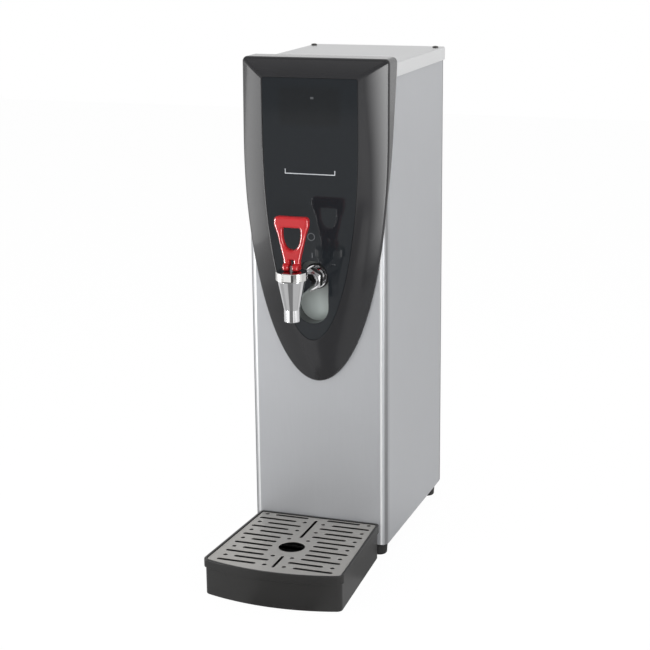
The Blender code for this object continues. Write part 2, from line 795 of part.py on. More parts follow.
def feet():
    """Push-in rubber feet, each held by a barb above the pan."""
    shelf = PAN_TOP_FACE + GAP
    profile = [
        (0, shelf + 2 * FOOT_BARB),
        (FOOT_STEM, shelf + 2 * FOOT_BARB),
        (FOOT_STEM + FOOT_BARB, shelf + FOOT_BARB),
        (FOOT_STEM + FOOT_BARB, shelf),
        (FOOT_STEM, shelf),
        (FOOT_STEM, FOOT_HEIGHT),
        (FOOT_RADIUS, FOOT_HEIGHT),
        (FOOT_RADIUS - FOOT_TAPER, FOOT_ROUNDING),
        (FOOT_RADIUS - FOOT_TAPER - FOOT_ROUNDING, 0),
        (0, 0),
    ]
    mesh = turned(profile, FOOT_SIDES)
    for name, (x, y) in foot_places().items():
        place(name, mesh, RUBBER, (x, y, 0))


def slot(low, high, across, width):
    """A slot along the first axis between two places, across being its place on the second."""
    radius = width / 2
    high_end = arc((high - radius, across), radius, -90, 90, CORNER_STEPS)
    return high_end + arc((low + radius, across), radius, 90, 270, CORNER_STEPS)


def back_panel():
    """Flat rear cover with louvre slots and the openings for water, cord and switch."""
    half_z = (BODY_TOP - BODY_FLOOR) / 2
    half_x = BODY_HALF - GAP
    outlines = [rounded_rectangle(half_x, half_z - GAP, GAP, (0, BODY_FLOOR + half_z), 1)]
    for side in (-1, 1):
        centre = side * LOUVRE_X
        for row in range(LOUVRE_ROWS):
            z = LOUVRE_LOW + row * LOUVRE_PITCH
            outlines.append(slot(centre - LOUVRE_WIDTH / 2, centre + LOUVRE_WIDTH / 2, z, LOUVRE_HEIGHT))
        for z in BACK_SCREW_HEIGHTS:
            place_of_screw = (side * (BODY_HALF - BACK_SCREW_INSET), z)
            outlines.append(circle(place_of_screw, SCREW_SHANK + GAP, SCREW_SIDES))
    outlines.append(circle((VALVE_X, VALVE_Z), FITTING_THREAD + GAP, ROUND_SIDES))
    outlines.append(circle((GLAND_X, GLAND_Z), GLAND_NECK + GAP, ROUND_SIDES))
    half = (SWITCH_WIDTH / 2 + GAP, SWITCH_HEIGHT / 2 + GAP)
    outlines.append(rounded_rectangle(*half, GAP, (SWITCH_X, SWITCH_Z), 1))
    place("back_panel", upright(flat(outlines, SHEET), BODY_DEPTH - SHEET / 2), STEEL)
    number = 0
    for side in (-1, 1):
        for z in BACK_SCREW_HEIGHTS:
            number += 1
            head = (side * (BODY_HALF - BACK_SCREW_INSET), BODY_DEPTH + GAP, z)
            screw(f"back_screw_{number}", STEEL, head, (0, -1, 0))


def top_cover():
    """A folded lid: top plate, side flanges and rear flange, narrower where the fascia covers it."""
    bm = bmesh.new()
    bmesh.ops.create_cube(bm, size=1)
    bmesh.ops.scale(bm, vec=(2 * COVER_HALF, COVER_REAR - COVER_FRONT, COVER_FLANGE), verts=bm.verts)
    middle = (0, (COVER_REAR + COVER_FRONT) / 2, COVER_TOP - COVER_FLANGE / 2)
    bmesh.ops.translate(bm, vec=middle, verts=bm.verts)
    bm.normal_update()
    open_sides = [face for face in bm.faces if face.normal.y < -0.5 or face.normal.z < -0.5]
    bmesh.ops.delete(bm, geom=open_sides, context="FACES")
    folds = [edge for edge in bm.edges if len(edge.link_faces) == 2]
    bmesh.ops.bevel(bm, geom=folds, offset=COVER_BEND, segments=3, affect="EDGES", profile=0.5)
    obj = wall(place("top_cover", to_mesh(bm, "top_cover"), STAINLESS), SHEET)
    tongue = BODY_HALF - COVER_TONGUE_INSET
    low = COVER_TOP - COVER_FLANGE - OVERRUN
    high = COVER_TOP + OVERRUN
    beside = COVER_HALF + OVERRUN
    tools = [
        span((low_x, -OVERRUN, low), (high_x, COVER_FLANGE_FRONT, high))
        for low_x, high_x in ((-beside, -tongue), (tongue, beside))
    ]
    cut(obj, *tools, *cover_screw_holes(OVERRUN))
    for name, x in zip(("cover_screw_left", "cover_screw_right"), cover_screw_sides()):
        screw(name, DARK_SCREW, (x, COVER_SCREW_Y, COVER_TOP + GAP), (0, 0, -1))


def shield(width, top, drop, corner):
    """The fascia's outline: square shoulders, straight sides, and half an ellipse below them."""
    half = width / 2
    levels = [FASCIA_SPRING + (top - corner - FASCIA_SPRING) * share for share in (0.75, 0.5, 0.25)]
    angles = np.radians(np.linspace(180, 360, 33))
    points = arc((half - corner, top - corner), corner, 0, 90, 4)
    points += arc((corner - half, top - corner), corner, 90, 180, 4)
    points += [(-half, z) for z in levels]
    points += [(half * math.cos(a), FASCIA_SPRING + drop * math.sin(a)) for a in angles]
    points += [(half, z) for z in reversed(levels)]
    return np.array(points)


def fascia_shields():
    outer = shield(FASCIA_WIDTH, FASCIA_TOP, FASCIA_DROP, FASCIA_CORNER)
    panel = shield(PANEL_WIDTH, PANEL_TOP, PANEL_DROP, PANEL_CORNER)
    return outer, panel


def fascia():
    """The moulded shield: rear rim, rolled edge, wide bevels and a sunk panel, as one thin wall."""
    outer, panel = fascia_shields()
    wrap = np.clip((outer[:, 1] - CHEEK_FOOT) / (CHEEK_FULL - CHEEK_FOOT), 0, 1)
    rim = -GAP + (CHEEK_REACH + GAP) * wrap
    edge = -GAP - FASCIA_RIM_LAND + CHEEK_REACH * CHEEK_EDGE_SHARE * wrap
    turns = np.linspace(FASCIA_EDGE_TURN, 0, 4)
    inner_radius = FASCIA_EDGE_RADIUS - FASCIA_WALL

    def ring(outline, y):
        return np.column_stack([outline[:, 0], np.broadcast_to(y, len(outline)), outline[:, 1]])

    sunk = inset(panel, OVERLAY_INSET)
    rings = [ring(sunk, RECESS_FLOOR), ring(sunk, PANEL_FACE), ring(panel, PANEL_FACE)]
    for turn in turns:
        outline = inset(outer, FASCIA_EDGE_RADIUS * (1 - math.cos(turn)))
        rings.append(ring(outline, edge - FASCIA_EDGE_RADIUS * math.sin(turn)))
    rings += [ring(outer, rim), ring(inset(outer, FASCIA_WALL), rim)]
    for turn in turns[[-1, 0]]:
        outline = inset(outer, FASCIA_EDGE_RADIUS - inner_radius * math.cos(turn))
        rings.append(ring(outline, edge - inner_radius * math.sin(turn)))
    rings.append(ring(inset(panel, -PANEL_BACK_FLARE), PANEL_BACK))
    obj = place("fascia", skin(rings, wrap=False, caps=True), GLOSS_BLACK)

    root = (RECESS_FLOOR + PANEL_BACK) / 2
    tube = obround(WELL_RADIUS + WELL_WALL, WELL_BOTTOM - WELL_WALL, WELL_TOP + WELL_WALL)
    joins = [upright(flat([tube], -GAP - root), (root - GAP) / 2)]
    lower_tip = FASCIA_SPRING - FASCIA_DROP
    slope = PANEL_STAND / (FASCIA_SPRING - PANEL_DROP - lower_tip)
    lower_root = -LOWER_BOSS_DEPTH_SHARE * slope * (LOWER_BOSS_Z - lower_tip)
    for (x, z), deep in zip(fascia_screw_places(), (root, root, lower_root)):
        joins.append(round_bar(BOSS_RADIUS, (x, -GAP, z), (x, deep, z)))
    half_rib = COVER_RIB_THICKNESS / 2
    rib_rear, rib_top = CHEEK_REACH - COVER_RIB_THICKNESS, FASCIA_TOP - FASCIA_WALL / 2
    for x in (-COVER_RIB_X, COVER_RIB_X):
        low = (x - half_rib, COVER_RIB_FRONT, COVER_TOP + GAP)
        joins.append(span(low, (x + half_rib, rib_rear, rib_top)))
    for x in (-1, 1):
        for z in (-1, 1):
            px = x * (DISPLAY_WIDTH / 2 - POST_INSET)
            pz = DISPLAY_Z + z * (DISPLAY_HEIGHT / 2 - POST_INSET)
            low = (px - POST_SIZE / 2, root, pz - POST_SIZE / 2)
            top = -DISPLAY_STAND - BOARD_THICKNESS - GAP
            joins.append(span(low, (px + POST_SIZE / 2, top, pz + POST_SIZE / 2)))
    fuse(obj, *joins)
    well = flat([obround(WELL_RADIUS, WELL_BOTTOM, WELL_TOP)], PANEL_STAND + 2 * OVERRUN)
    tools = [upright(well, PANEL_FACE / 2)]
    for x, z in fascia_screw_places():
        tools.append(round_bar(SCREW_SHANK + GAP, (x, OVERRUN, z), (x, -BOSS_PILOT_DEPTH, z)))
    cut(obj, *tools)
    for number, (x, z) in enumerate(fascia_screw_places(), 1):
        screw(f"fascia_screw_{number}", STEEL, (x, SHEET + GAP, z), (0, -1, 0))


def panel_overlay():
    """The glossy sheet that fills the fascia's sunk panel."""
    outline = inset(fascia_shields()[1], OVERLAY_INSET + GAP)
    mesh = flat([outline, obround(WELL_RADIUS, WELL_BOTTOM, WELL_TOP)], OVERLAY_THICKNESS)
    place("panel_overlay", upright(mesh, PANEL_FACE + OVERLAY_THICKNESS / 2), OVERLAY_BLACK)


def display_board():
    """The board behind the fascia, with the ready lamp on its front."""
    y = -DISPLAY_STAND - BOARD_THICKNESS / 2
    mesh = block((DISPLAY_WIDTH, BOARD_THICKNESS, DISPLAY_HEIGHT))
    obj = place("display_board", mesh, BOARD, (0, y, DISPLAY_Z))
    lamp_end = -DISPLAY_STAND - BOARD_THICKNESS - LAMP_LENGTH
    fuse(obj, round_bar(LAMP_RADIUS, (LAMP_X, y, LAMP_Z), (LAMP_X, lamp_end, LAMP_Z)))


def fillet(before, corner, after, radius, steps=ARC_STEPS):
    """Points of the arc that rounds a corner between the straight ways to its two neighbours."""
    corner = Vector(corner)
    to_before = (Vector(before) - corner).normalized()
    to_after = (Vector(after) - corner).normalized()
    half = to_before.angle(to_after) / 2
    centre = corner + (to_before + to_after).normalized() * (radius / math.sin(half))
    start = corner + to_before * (radius / math.tan(half)) - centre
    end = corner + to_after * (radius / math.tan(half)) - centre
    sweep = start.angle_signed(end)
    return [tuple(centre + Matrix.Rotation(-sweep * i / steps, 2) @ start) for i in range(steps + 1)]


def tray_outline():
    """Plan of the drip tray: wider at the front, with a bowed front edge."""
    rear_half, front_half = TRAY_REAR_WIDTH / 2, TRAY_FRONT_WIDTH / 2
    rear, front = -TRAY_START, -TRAY_START - TRAY_DEPTH
    radius = (front_half**2 + TRAY_BOW**2) / (2 * TRAY_BOW)
    reach = math.asin(front_half / radius)
    turns = np.linspace(-reach, reach, 11)[1:-1]
    bow = [(radius * math.sin(t), front - TRAY_BOW + radius * (1 - math.cos(t))) for t in turns]
    corners = [(rear_half, rear), (-rear_half, rear), (-front_half, front), (front_half, front)]
    points = fillet(corners[3], corners[0], corners[1], TRAY_REAR_CORNER)
    points += fillet(corners[0], corners[1], corners[2], TRAY_REAR_CORNER)
    points += fillet(corners[1], corners[2], bow[0], TRAY_FRONT_CORNER)
    points += bow
    points += fillet(bow[-1], corners[3], corners[0], TRAY_FRONT_CORNER)
    return np.array(points)


def ledge_height():
    return TRAY_HEIGHT - GRILLE_SINK - GRILLE_THICKNESS - GAP


def drip_tray():
    """A moulded tray with a proud lip outside and a ledge inside for the grille."""
    outline = tray_outline()
    ledge = TRAY_LIP_WIDTH + LEDGE_WIDTH
    inner_wall = TRAY_LIP_STEP + TRAY_WALL
    section = [
        (TRAY_LIP_STEP + TRAY_EDGE, 0),
        (TRAY_LIP_STEP, TRAY_EDGE),
        (TRAY_LIP_STEP, TRAY_HEIGHT - TRAY_LIP_HEIGHT - TRAY_EDGE),
        (TRAY_EDGE, TRAY_HEIGHT - TRAY_LIP_HEIGHT),
        (0, TRAY_HEIGHT - TRAY_LIP_HEIGHT + TRAY_EDGE),
        (0, TRAY_HEIGHT - TRAY_EDGE),
        (TRAY_EDGE, TRAY_HEIGHT),
        (TRAY_LIP_WIDTH, TRAY_HEIGHT),
        (TRAY_LIP_WIDTH, ledge_height()),
        (ledge, ledge_height()),
        (ledge, ledge_height() - LEDGE_THICKNESS),
        (inner_wall, ledge_height() - LEDGE_THICKNESS - LEDGE_WIDTH),
        (inner_wall + TRAY_DRAFT, TRAY_FLOOR + TRAY_DRAFT),
        (inner_wall + 2 * TRAY_DRAFT, TRAY_FLOOR),
    ]
    rings = [[(x, y, z) for x, y in inset(outline, distance)] for distance, z in section]
    place("drip_tray", skin(rings, wrap=False, caps=True), TRAY_BLACK)


def grille_openings():
    """Rows of slots and dots, staggered row by row, round a hole under the spout."""
    openings = [circle((0, GRILLE_HOLE_Y), GRILLE_HOLE, ROUND_SIDES)]
    dot = SLOT_WIDTH / 2
    for row in range(SLOT_ROWS):
        y = SLOT_ROW_FIRST - row * SLOT_PITCH
        starred = row in STARRED_ROWS
        long_row = row % 2 == 1
        low, high = ROW_A_SLOT if long_row else ROW_B_SLOT
        low = ROW_A_SLOT[0] if starred else low
        for side in (-1, 1):
            openings.append(slot(min(side * low, side * high), max(side * low, side * high), y, SLOT_WIDTH))
            if not long_row:
                openings.append(circle((side * ROW_B_DOT, y), dot, DOT_SIDES))
            elif not starred:
                openings.append(circle((side * ROW_A_DOT, y), dot, DOT_SIDES))
    for rear, front in CENTRE_SLOTS:
        openings.append([(-y, x) for x, y in slot(front, rear, 0, CENTRE_SLOT_WIDTH)])
    return openings


def drip_grille():
    """The perforated stainless plate that lies on the tray's ledge."""
    outline = inset(tray_outline(), TRAY_LIP_WIDTH + RUNNING_GAP)
    mesh = flat([outline, *grille_openings()], GRILLE_THICKNESS)
    z = ledge_height() + GAP + GRILLE_THICKNESS / 2
    place("drip_grille", laid(mesh, z), STAINLESS)


def hex_nut(name, material, radius, bore, rear, front, chamfer):
    """A hexagon nut along Y between two places, with its corners chamfered."""
    z = SHANK_HEIGHT
    middle, length = (rear + front) / 2, rear - front
    obj = place(name, round_bar(radius, (0, rear, z), (0, front, z), HEX_SIDES), material)
    barrel = [
        (0, length / 2),
        (radius - chamfer, length / 2),
        (radius, length / 2 - chamfer / 2),
        (radius, -length / 2 + chamfer / 2),
        (radius - chamfer, -length / 2),
        (0, -length / 2),
    ]
    clip(obj, along_y(turned(barrel), 0, middle, z))
    return cut(obj, round_bar(bore, (0, rear + OVERRUN, z), (0, front - OVERRUN, z), ROUND_SIDES))


def shank():
    """The pipe through the body front, its collar, washer, lock nut and the coupling nut."""
    collar = 2 * GAP + SHANK_WASHER_THICKNESS
    profile = [
        (SHANK_RADIUS, -SHANK_FRONT),
        (SHANK_RADIUS, collar + SHANK_COLLAR_THICKNESS),
        (SHANK_COLLAR, collar + SHANK_COLLAR_THICKNESS),
        (SHANK_COLLAR, collar),
        (SHANK_RADIUS, collar),
        (SHANK_RADIUS, -SHANK_TAIL),
        (SHANK_BORE, -SHANK_TAIL),
        (SHANK_BORE, -SHANK_FRONT),
    ]
    place("faucet_shank", along_y(turned(profile), 0, 0, SHANK_HEIGHT), CHROME)
    bore = SHANK_RADIUS + GAP
    rim = [
        (SHANK_WASHER_RADIUS, GAP + SHANK_WASHER_THICKNESS),
        (SHANK_WASHER_RADIUS, GAP),
        (bore, GAP),
        (bore, GAP + SHANK_WASHER_THICKNESS),
    ]
    place("shank_washer", along_y(turned(rim), 0, 0, SHANK_HEIGHT), RUBBER)
    inside = SHEET + GAP
    nut_end = inside + LOCK_NUT_THICKNESS
    hex_nut("shank_lock_nut", BRASS, LOCK_NUT_RADIUS, bore, nut_end, inside, COUPLING_CHAMFER)
    rear = COUPLING_FRONT + COUPLING_LENGTH
    hex_nut("coupling_nut", CHROME, COUPLING_RADIUS, bore, rear, COUPLING_FRONT, COUPLING_CHAMFER)


def faucet_body():
    """The tapered tap body with its spout and the arm that reaches back to the coupling nut."""
    profile = [
        (0, TAP_TOP),
        (TAP_TOP_RADIUS, TAP_TOP),
        (SPOUT_RADIUS, SPOUT_SHOULDER),
        (SPOUT_RADIUS, SPOUT_TIP + SPOUT_ROUNDING),
        (SPOUT_RADIUS - SPOUT_ROUNDING, SPOUT_TIP),
        (0, SPOUT_TIP),
    ]
    obj = place("faucet_body", turned(profile), CHROME, (0, TAP_Y, 0))
    arm_end = (0, SHANK_FRONT - GAP, SHANK_HEIGHT)
    arm_start = (0, TAP_Y, SHANK_HEIGHT)
    fuse(obj, round_bar(ARM_ROOT_RADIUS, arm_start, arm_end, ROUND_SIDES, SHANK_RADIUS))
    throat = SEAT_HEIGHT - (CHAMBER_RADIUS - SEAT_BORE)
    bores = (
        (CHAMBER_RADIUS, SEAT_HEIGHT, TAP_TOP + OVERRUN),
        (SEAT_BORE, throat, SEAT_HEIGHT + OVERRUN),
        (SPOUT_BORE, SPOUT_TIP - OVERRUN, throat + GAP),
    )
    tools = [round_bar(radius, (0, TAP_Y, low), (0, TAP_Y, high), BORE_SIDES) for radius, low, high in bores]
    tools.append(round_bar(SHANK_BORE, (0, TAP_Y, SHANK_HEIGHT), (0, SHANK_FRONT + OVERRUN, SHANK_HEIGHT)))
    cut(obj, *tools)


def faucet_bonnet():
    """The collar on the tap body, with a plug below for the spring and a notch at the front."""
    low = TAP_TOP + GAP
    bore = STEM_RADIUS + RUNNING_GAP
    plug = CHAMBER_RADIUS - GAP
    profile = [
        (bore, BONNET_TOP),
        (BONNET_RADIUS - BONNET_CHAMFER, BONNET_TOP),
        (BONNET_RADIUS, BONNET_TOP - BONNET_CHAMFER),
        (BONNET_RADIUS, low + BONNET_CHAMFER / 2),
        (BONNET_RADIUS - BONNET_CHAMFER / 2, low),
        (plug, low),
        (plug, low - BONNET_PLUG_DEPTH),
        (bore, low - BONNET_PLUG_DEPTH),
    ]
    obj = place("faucet_bonnet", turned(profile), CHROME, (0, TAP_Y, 0))
    notch = BONNET_NOTCH_WIDTH / 2
    front = TAP_Y - BONNET_RADIUS
    notch_end = (notch, front + BONNET_NOTCH_DEPTH, BONNET_TOP + OVERRUN)
    cut(obj, span((-notch, front - OVERRUN, low - OVERRUN), notch_end))


def valve():
    """Stem, seat cup and spring inside the tap body."""
    seat = SEAT_HEIGHT + GAP
    stem_foot = seat + CUP_SHOULDER / 2
    profile = [
        (0, PIN_HEIGHT + STEM_HEAD),
        (STEM_RADIUS * 0.65, PIN_HEIGHT + STEM_HEAD * 0.85),
        (STEM_RADIUS, PIN_HEIGHT + STEM_HEAD * 0.55),
        (STEM_RADIUS, stem_foot),
        (0, stem_foot),
    ]
    stem = place("valve_stem", turned(profile, BORE_SIDES), STEEL, (0, TAP_Y, 0))
    cut(stem, clearance_hole((0, TAP_Y, PIN_HEIGHT), (1, 0, 0), OVERRUN, PIN_RADIUS + GAP))
    bore = STEM_RADIUS + GAP
    neck = bore + (SPRING_RADIUS - SPRING_WIRE - bore) / 2
    cup = [
        (0, stem_foot - GAP),
        (bore, stem_foot - GAP),
        (bore, seat + CUP_HEIGHT),
        (neck, seat + CUP_HEIGHT),
        (neck, seat + CUP_SHOULDER),
        (CHAMBER_RADIUS - RUNNING_GAP, seat + CUP_SHOULDER),
        (CHAMBER_RADIUS - RUNNING_GAP, seat),
        (0, seat),
    ]
    place("seat_cup", turned(cup), SILICONE, (0, TAP_Y, 0))
    low = seat + CUP_SHOULDER + GAP + SPRING_WIRE
    high = TAP_TOP - BONNET_PLUG_DEPTH - SPRING_WIRE
    count = SPRING_TURNS * SPRING_STEPS
    coil = []
    for i in range(count + 1):
        turn = 2 * math.pi * i / SPRING_STEPS
        height = low + (high - low) * i / count
        coil.append((SPRING_RADIUS * math.cos(turn), SPRING_RADIUS * math.sin(turn), height))
    place("valve_spring", wire(coil, SPRING_WIRE, 1), STEEL, (0, TAP_Y, 0))


def sideways(mesh):
    """Turn a plate so that its first axis lies along Y, its second along Z and its thickness along X."""
    mesh.transform(Matrix(((0, 0, 1, 0), (1, 0, 0, 0), (0, 1, 0, 0), (0, 0, 0, 1))))
    return mesh


def moved(mesh, offset):
    mesh.transform(Matrix.Translation(offset))
    return mesh


def handle_front(foot):
    """Front outline of the handle about its pin: straight waist, widening legs and a round-ended bar."""
    waist, shoulder, bar = HANDLE_WAIST / 2, HANDLE_SHOULDER_WIDTH / 2, HANDLE_WIDTH / 2
    right = [(waist, foot), (waist, HANDLE_WAIST_TOP), (shoulder, HANDLE_SHOULDER)]
    right += arc((bar - HANDLE_CORNER, HANDLE_TOP - HANDLE_CORNER), HANDLE_CORNER, -50, 90, 2 * CORNER_STEPS)
    return right + [(-x, z) for x, z in reversed(right)]


def handle_window():
    """Finger window: square-topped, closing to a half ellipse."""
    half, top, corner = WINDOW_TOP_WIDTH / 2, HANDLE_TOP - HANDLE_BAR, WINDOW_CORNER
    angles = np.radians(np.linspace(180, 360, 13))
    points = arc((half - corner, top - corner), corner, 0, 90, CORNER_STEPS)
    points += arc((corner - half, top - corner), corner, 90, 180, CORNER_STEPS)
    drop = WINDOW_SPRING - WINDOW_BOTTOM
    return points + [(half * math.cos(a), WINDOW_SPRING + drop * math.sin(a)) for a in angles]


def handle_side(foot):
    """Side outline: a flat grip above a neck, and the round cam toe that bears on the bonnet."""
    half, neck = HANDLE_THICKNESS / 2, HANDLE_NECK_THICKNESS / 2
    front, rear = HANDLE_SETBACK - half, HANDLE_SETBACK + half
    neck_front, neck_rear = HANDLE_SETBACK - neck, HANDLE_SETBACK + neck
    toe = PIN_HEIGHT - foot
    bar_low = HANDLE_TOP - HANDLE_BAR
    crown = HANDLE_TOP - HANDLE_HEEL_CHAMFER
    toe_start = math.degrees(math.acos((neck_front + CAM_OFFSET) / toe))
    return [
        (rear - HANDLE_HEEL_CHAMFER, foot),
        (rear, foot + HANDLE_HEEL_CHAMFER),
        (rear, HANDLE_WAIST_TOP),
        (neck_rear, HANDLE_SHOULDER),
        (rear, bar_low),
        *arc((rear - HANDLE_HEEL_CHAMFER, crown), HANDLE_HEEL_CHAMFER, 0, 90, 2),
        *arc((front + HANDLE_HEEL_CHAMFER, crown), HANDLE_HEEL_CHAMFER, 90, 180, 2),
        (front, bar_low),
        (neck_front, HANDLE_SHOULDER),
        *arc((-CAM_OFFSET, PIN_HEIGHT), toe, toe_start, 270, 10),
    ]


def tap_handle():
    """The lever: a front outline and a side outline cut from one block, forked over the stem."""
    foot = BONNET_TOP + GAP
    pin = (0, TAP_Y, PIN_HEIGHT)
    front = upright(flat([handle_front(foot), handle_window()], 4 * HANDLE_THICKNESS), 0)
    obj = place("tap_handle", moved(front, (0, 0, -PIN_HEIGHT)), RED, pin)
    side = sideways(flat([handle_side(foot)], HANDLE_WIDTH + 2 * OVERRUN))
    clip(obj, moved(side, (0, TAP_Y, 0)))
    half = FORK_SLOT / 2
    depth = HANDLE_THICKNESS + HANDLE_SETBACK
    fork = span((-half, TAP_Y - depth, foot - OVERRUN), (half, TAP_Y + depth, FORK_SLOT_TOP))
    cut(obj, fork, clearance_hole(pin, (1, 0, 0), HANDLE_WAIST, PIN_RADIUS + GAP))
    reach = HANDLE_WAIST / 2 - PIN_HEAD_GAP
    place("handle_pin", round_bar(PIN_RADIUS, (-reach, 0, 0), (reach, 0, 0)), STEEL, pin)


def tank_outline(grow=0):
    half = (TANK_WIDTH / 2 + grow, TANK_DEPTH / 2 + grow)
    return rounded_rectangle(*half, TANK_CORNER + grow, (0, TANK_CENTRE_Y))


def lid_screw_places():
    x = (TANK_WIDTH + TANK_LIP) / 2
    y = TANK_DEPTH / 2 - LID_SCREW_INSET
    return [(sx * x, TANK_CENTRE_Y + sy * y) for sx in (-1, 1) for sy in (-1, 1)]


def tank():
    """The open tank with its outlet stub, its gasket, flat lid and lid screws."""
    mesh = open_box(tank_outline(), TANK_BOTTOM, TANK_TOP - SHEET, TANK_LIP)
    obj = wall(place("tank_shell", mesh, STEEL), SHEET)
    start = (0, SHANK_TAIL + GAP, SHANK_HEIGHT)
    fuse(obj, round_bar(SHANK_RADIUS, start, (0, TANK_FRONT + SHEET / 2, SHANK_HEIGHT), ROUND_SIDES))
    bore_start = (0, SHANK_TAIL - OVERRUN, SHANK_HEIGHT)
    tools = [round_bar(STUB_BORE, bore_start, (0, TANK_FRONT + OVERRUN, SHANK_HEIGHT))]
    tools += [clearance_hole((x, y, TANK_TOP), (0, 0, 1), OVERRUN) for x, y in lid_screw_places()]
    cut(obj, *tools)
    holes = [circle(at, SCREW_SHANK + GAP, SCREW_SIDES) for at in lid_screw_places()]
    gasket = flat([tank_outline(TANK_LIP), tank_outline(), *holes], GASKET_THICKNESS)
    place("tank_gasket", laid(gasket, TANK_TOP + GAP + GASKET_THICKNESS / 2), SILICONE)
    ports = [circle((0, HEATER_Y), HEATER_NECK + GAP, ROUND_SIDES)]
    ports.append(circle((VALVE_X, FILL_TUBE_PORT_Y), FILL_TUBE_RADIUS + GAP))
    ports += [circle((x, y), radius + GAP, SCREW_SIDES) for x, y, radius, _ in PROBES.values()]
    lid = flat([tank_outline(TANK_LIP), *ports, *holes], LID_THICKNESS)
    place("tank_lid", laid(lid, LID_BOTTOM + LID_THICKNESS / 2), STEEL)
    for number, (x, y) in enumerate(lid_screw_places(), 1):
        screw(f"lid_screw_{number}", STEEL, (x, y, LID_TOP + GAP), (0, 0, -1))


def insulation_jacket():
    low, high = TANK_BOTTOM + JACKET_BOTTOM_RISE, TANK_TOP - SHEET - JACKET_TOP_DROP
    inner, outer = tank_outline(GAP), tank_outline(GAP + JACKET_THICKNESS)
    corners = ((outer, low), (outer, high), (inner, high), (inner, low))
    rings = [[(x, y, z) for x, y in outline] for outline, z in corners]
    obj = place("insulation_jacket", skin(rings), FOAM)
    hole = SHANK_RADIUS + 2 * GAP + SLEEVE_WALL
    hole_end = (0, TANK_FRONT + TANK_CORNER, SHANK_HEIGHT)
    cut(obj, round_bar(hole, (0, SHANK_TAIL, SHANK_HEIGHT), hole_end, BORE_SIDES))


def outlet_tube():
    """Silicone sleeve that joins the tank's stub to the tail of the shank."""
    inner = SHANK_RADIUS + GAP
    half = SLEEVE_LENGTH / 2
    ring = [(inner + SLEEVE_WALL, half), (inner + SLEEVE_WALL, -half), (inner, -half), (inner, half)]
    place("outlet_tube", along_y(turned(ring), 0, SHANK_TAIL + GAP / 2, SHANK_HEIGHT), SILICONE)


def tank_brackets():
    """Two folded channels that carry the tank above the pan."""
    low, high = PAN_TOP_FACE + GAP, TANK_BOTTOM - GAP
    sets = {
        "tank_bracket_front": TANK_FRONT + BRACKET_FRONT_INSET,
        "tank_bracket_rear": TANK_REAR - BRACKET_REAR_INSET,
    }
    for name, y in sets.items():
        path = [(y + BRACKET_FOOT, low), (y, low), (y, high), (y + BRACKET_FOOT, high)]
        rings = [[(x, *point) for point in path] for x in (BRACKET_WIDTH / 2, -BRACKET_WIDTH / 2)]
        wall(place(name, skin(rings, False, False), STEEL), SHEET)


def heating_element():
    """A looped element hanging from its hexagon head, with two terminals on top."""
    base = LID_TOP + GAP
    y = HEATER_Y
    head = round_bar(HEATER_HEAD, (0, y, base), (0, y, base + HEATER_HEAD_HEIGHT), HEX_SIDES)
    obj = place("heating_element", head, STEEL)
    neck_foot = LID_BOTTOM - HEATER_HEAD_HEIGHT
    loop = [(HEATER_SPREAD, y, neck_foot + OVERRUN)]
    bend = arc((0, HEATER_BOTTOM + HEATER_SPREAD), HEATER_SPREAD, 0, -180, 2 * ARC_STEPS)
    loop += [(x, y, z) for x, z in bend]
    loop.append((-HEATER_SPREAD, y, neck_foot + OVERRUN))
    pin_foot = base + HEATER_HEAD_HEIGHT / 2
    pin_top = base + HEATER_HEAD_HEIGHT + HEATER_PIN_HEIGHT
    pins = [
        round_bar(HEATER_PIN, (x, y, pin_foot), (x, y, pin_top), SCREW_SIDES)
        for x in (-HEATER_SPREAD, HEATER_SPREAD)
    ]
    neck = round_bar(HEATER_NECK, (0, y, neck_foot), (0, y, base + HEATER_HEAD_HEIGHT / 2), ROUND_SIDES)
    fuse(obj, neck, wire(loop, HEATER_TUBE, 1), *pins)


def probes():
    for name, (x, y, radius, length) in PROBES.items():
        base = LID_TOP + GAP
        profile = [
            (0, base + PROBE_HEAD_HEIGHT + PROBE_CAP_HEIGHT),
            (PROBE_CAP, base + PROBE_HEAD_HEIGHT + PROBE_CAP_HEIGHT),
            (PROBE_CAP, base + PROBE_HEAD_HEIGHT),
            (PROBE_HEAD, base + PROBE_HEAD_HEIGHT),
            (PROBE_HEAD, base),
            (radius, base),
            (radius, base - length + radius),
            (0, base - length),
        ]
        place(name, turned(profile, SMALL_SIDES), STEEL, (x, y, 0))


def limit_thermostat():
    """A snap-disc thermostat that lies flat on the tank lid."""
    low = LID_TOP + GAP
    high = low + THERMOSTAT_HEIGHT
    profile = [
        (0, high),
        (THERMOSTAT_RADIUS, high),
        (THERMOSTAT_RADIUS, low + THERMOSTAT_FLANGE_HEIGHT),
        (THERMOSTAT_FLANGE, low + THERMOSTAT_FLANGE_HEIGHT),
        (THERMOSTAT_FLANGE, low),
        (0, low),
    ]
    can = turned(profile, BORE_SIDES)
    obj = place("limit_thermostat", can, OVERLAY_BLACK, (THERMOSTAT_X, THERMOSTAT_Y, 0))
    tabs = []
    for side in (-1, 1):
        x = THERMOSTAT_X + side * TAB_SPREAD
        tabs.append(
            span(
                (x - TAB_THICKNESS / 2, THERMOSTAT_Y - TAB_WIDTH / 2, high - THERMOSTAT_HEIGHT / 2),
                (x + TAB_THICKNESS / 2, THERMOSTAT_Y + TAB_WIDTH / 2, high + TAB_HEIGHT),
            )
        )
    fuse(obj, *tabs)


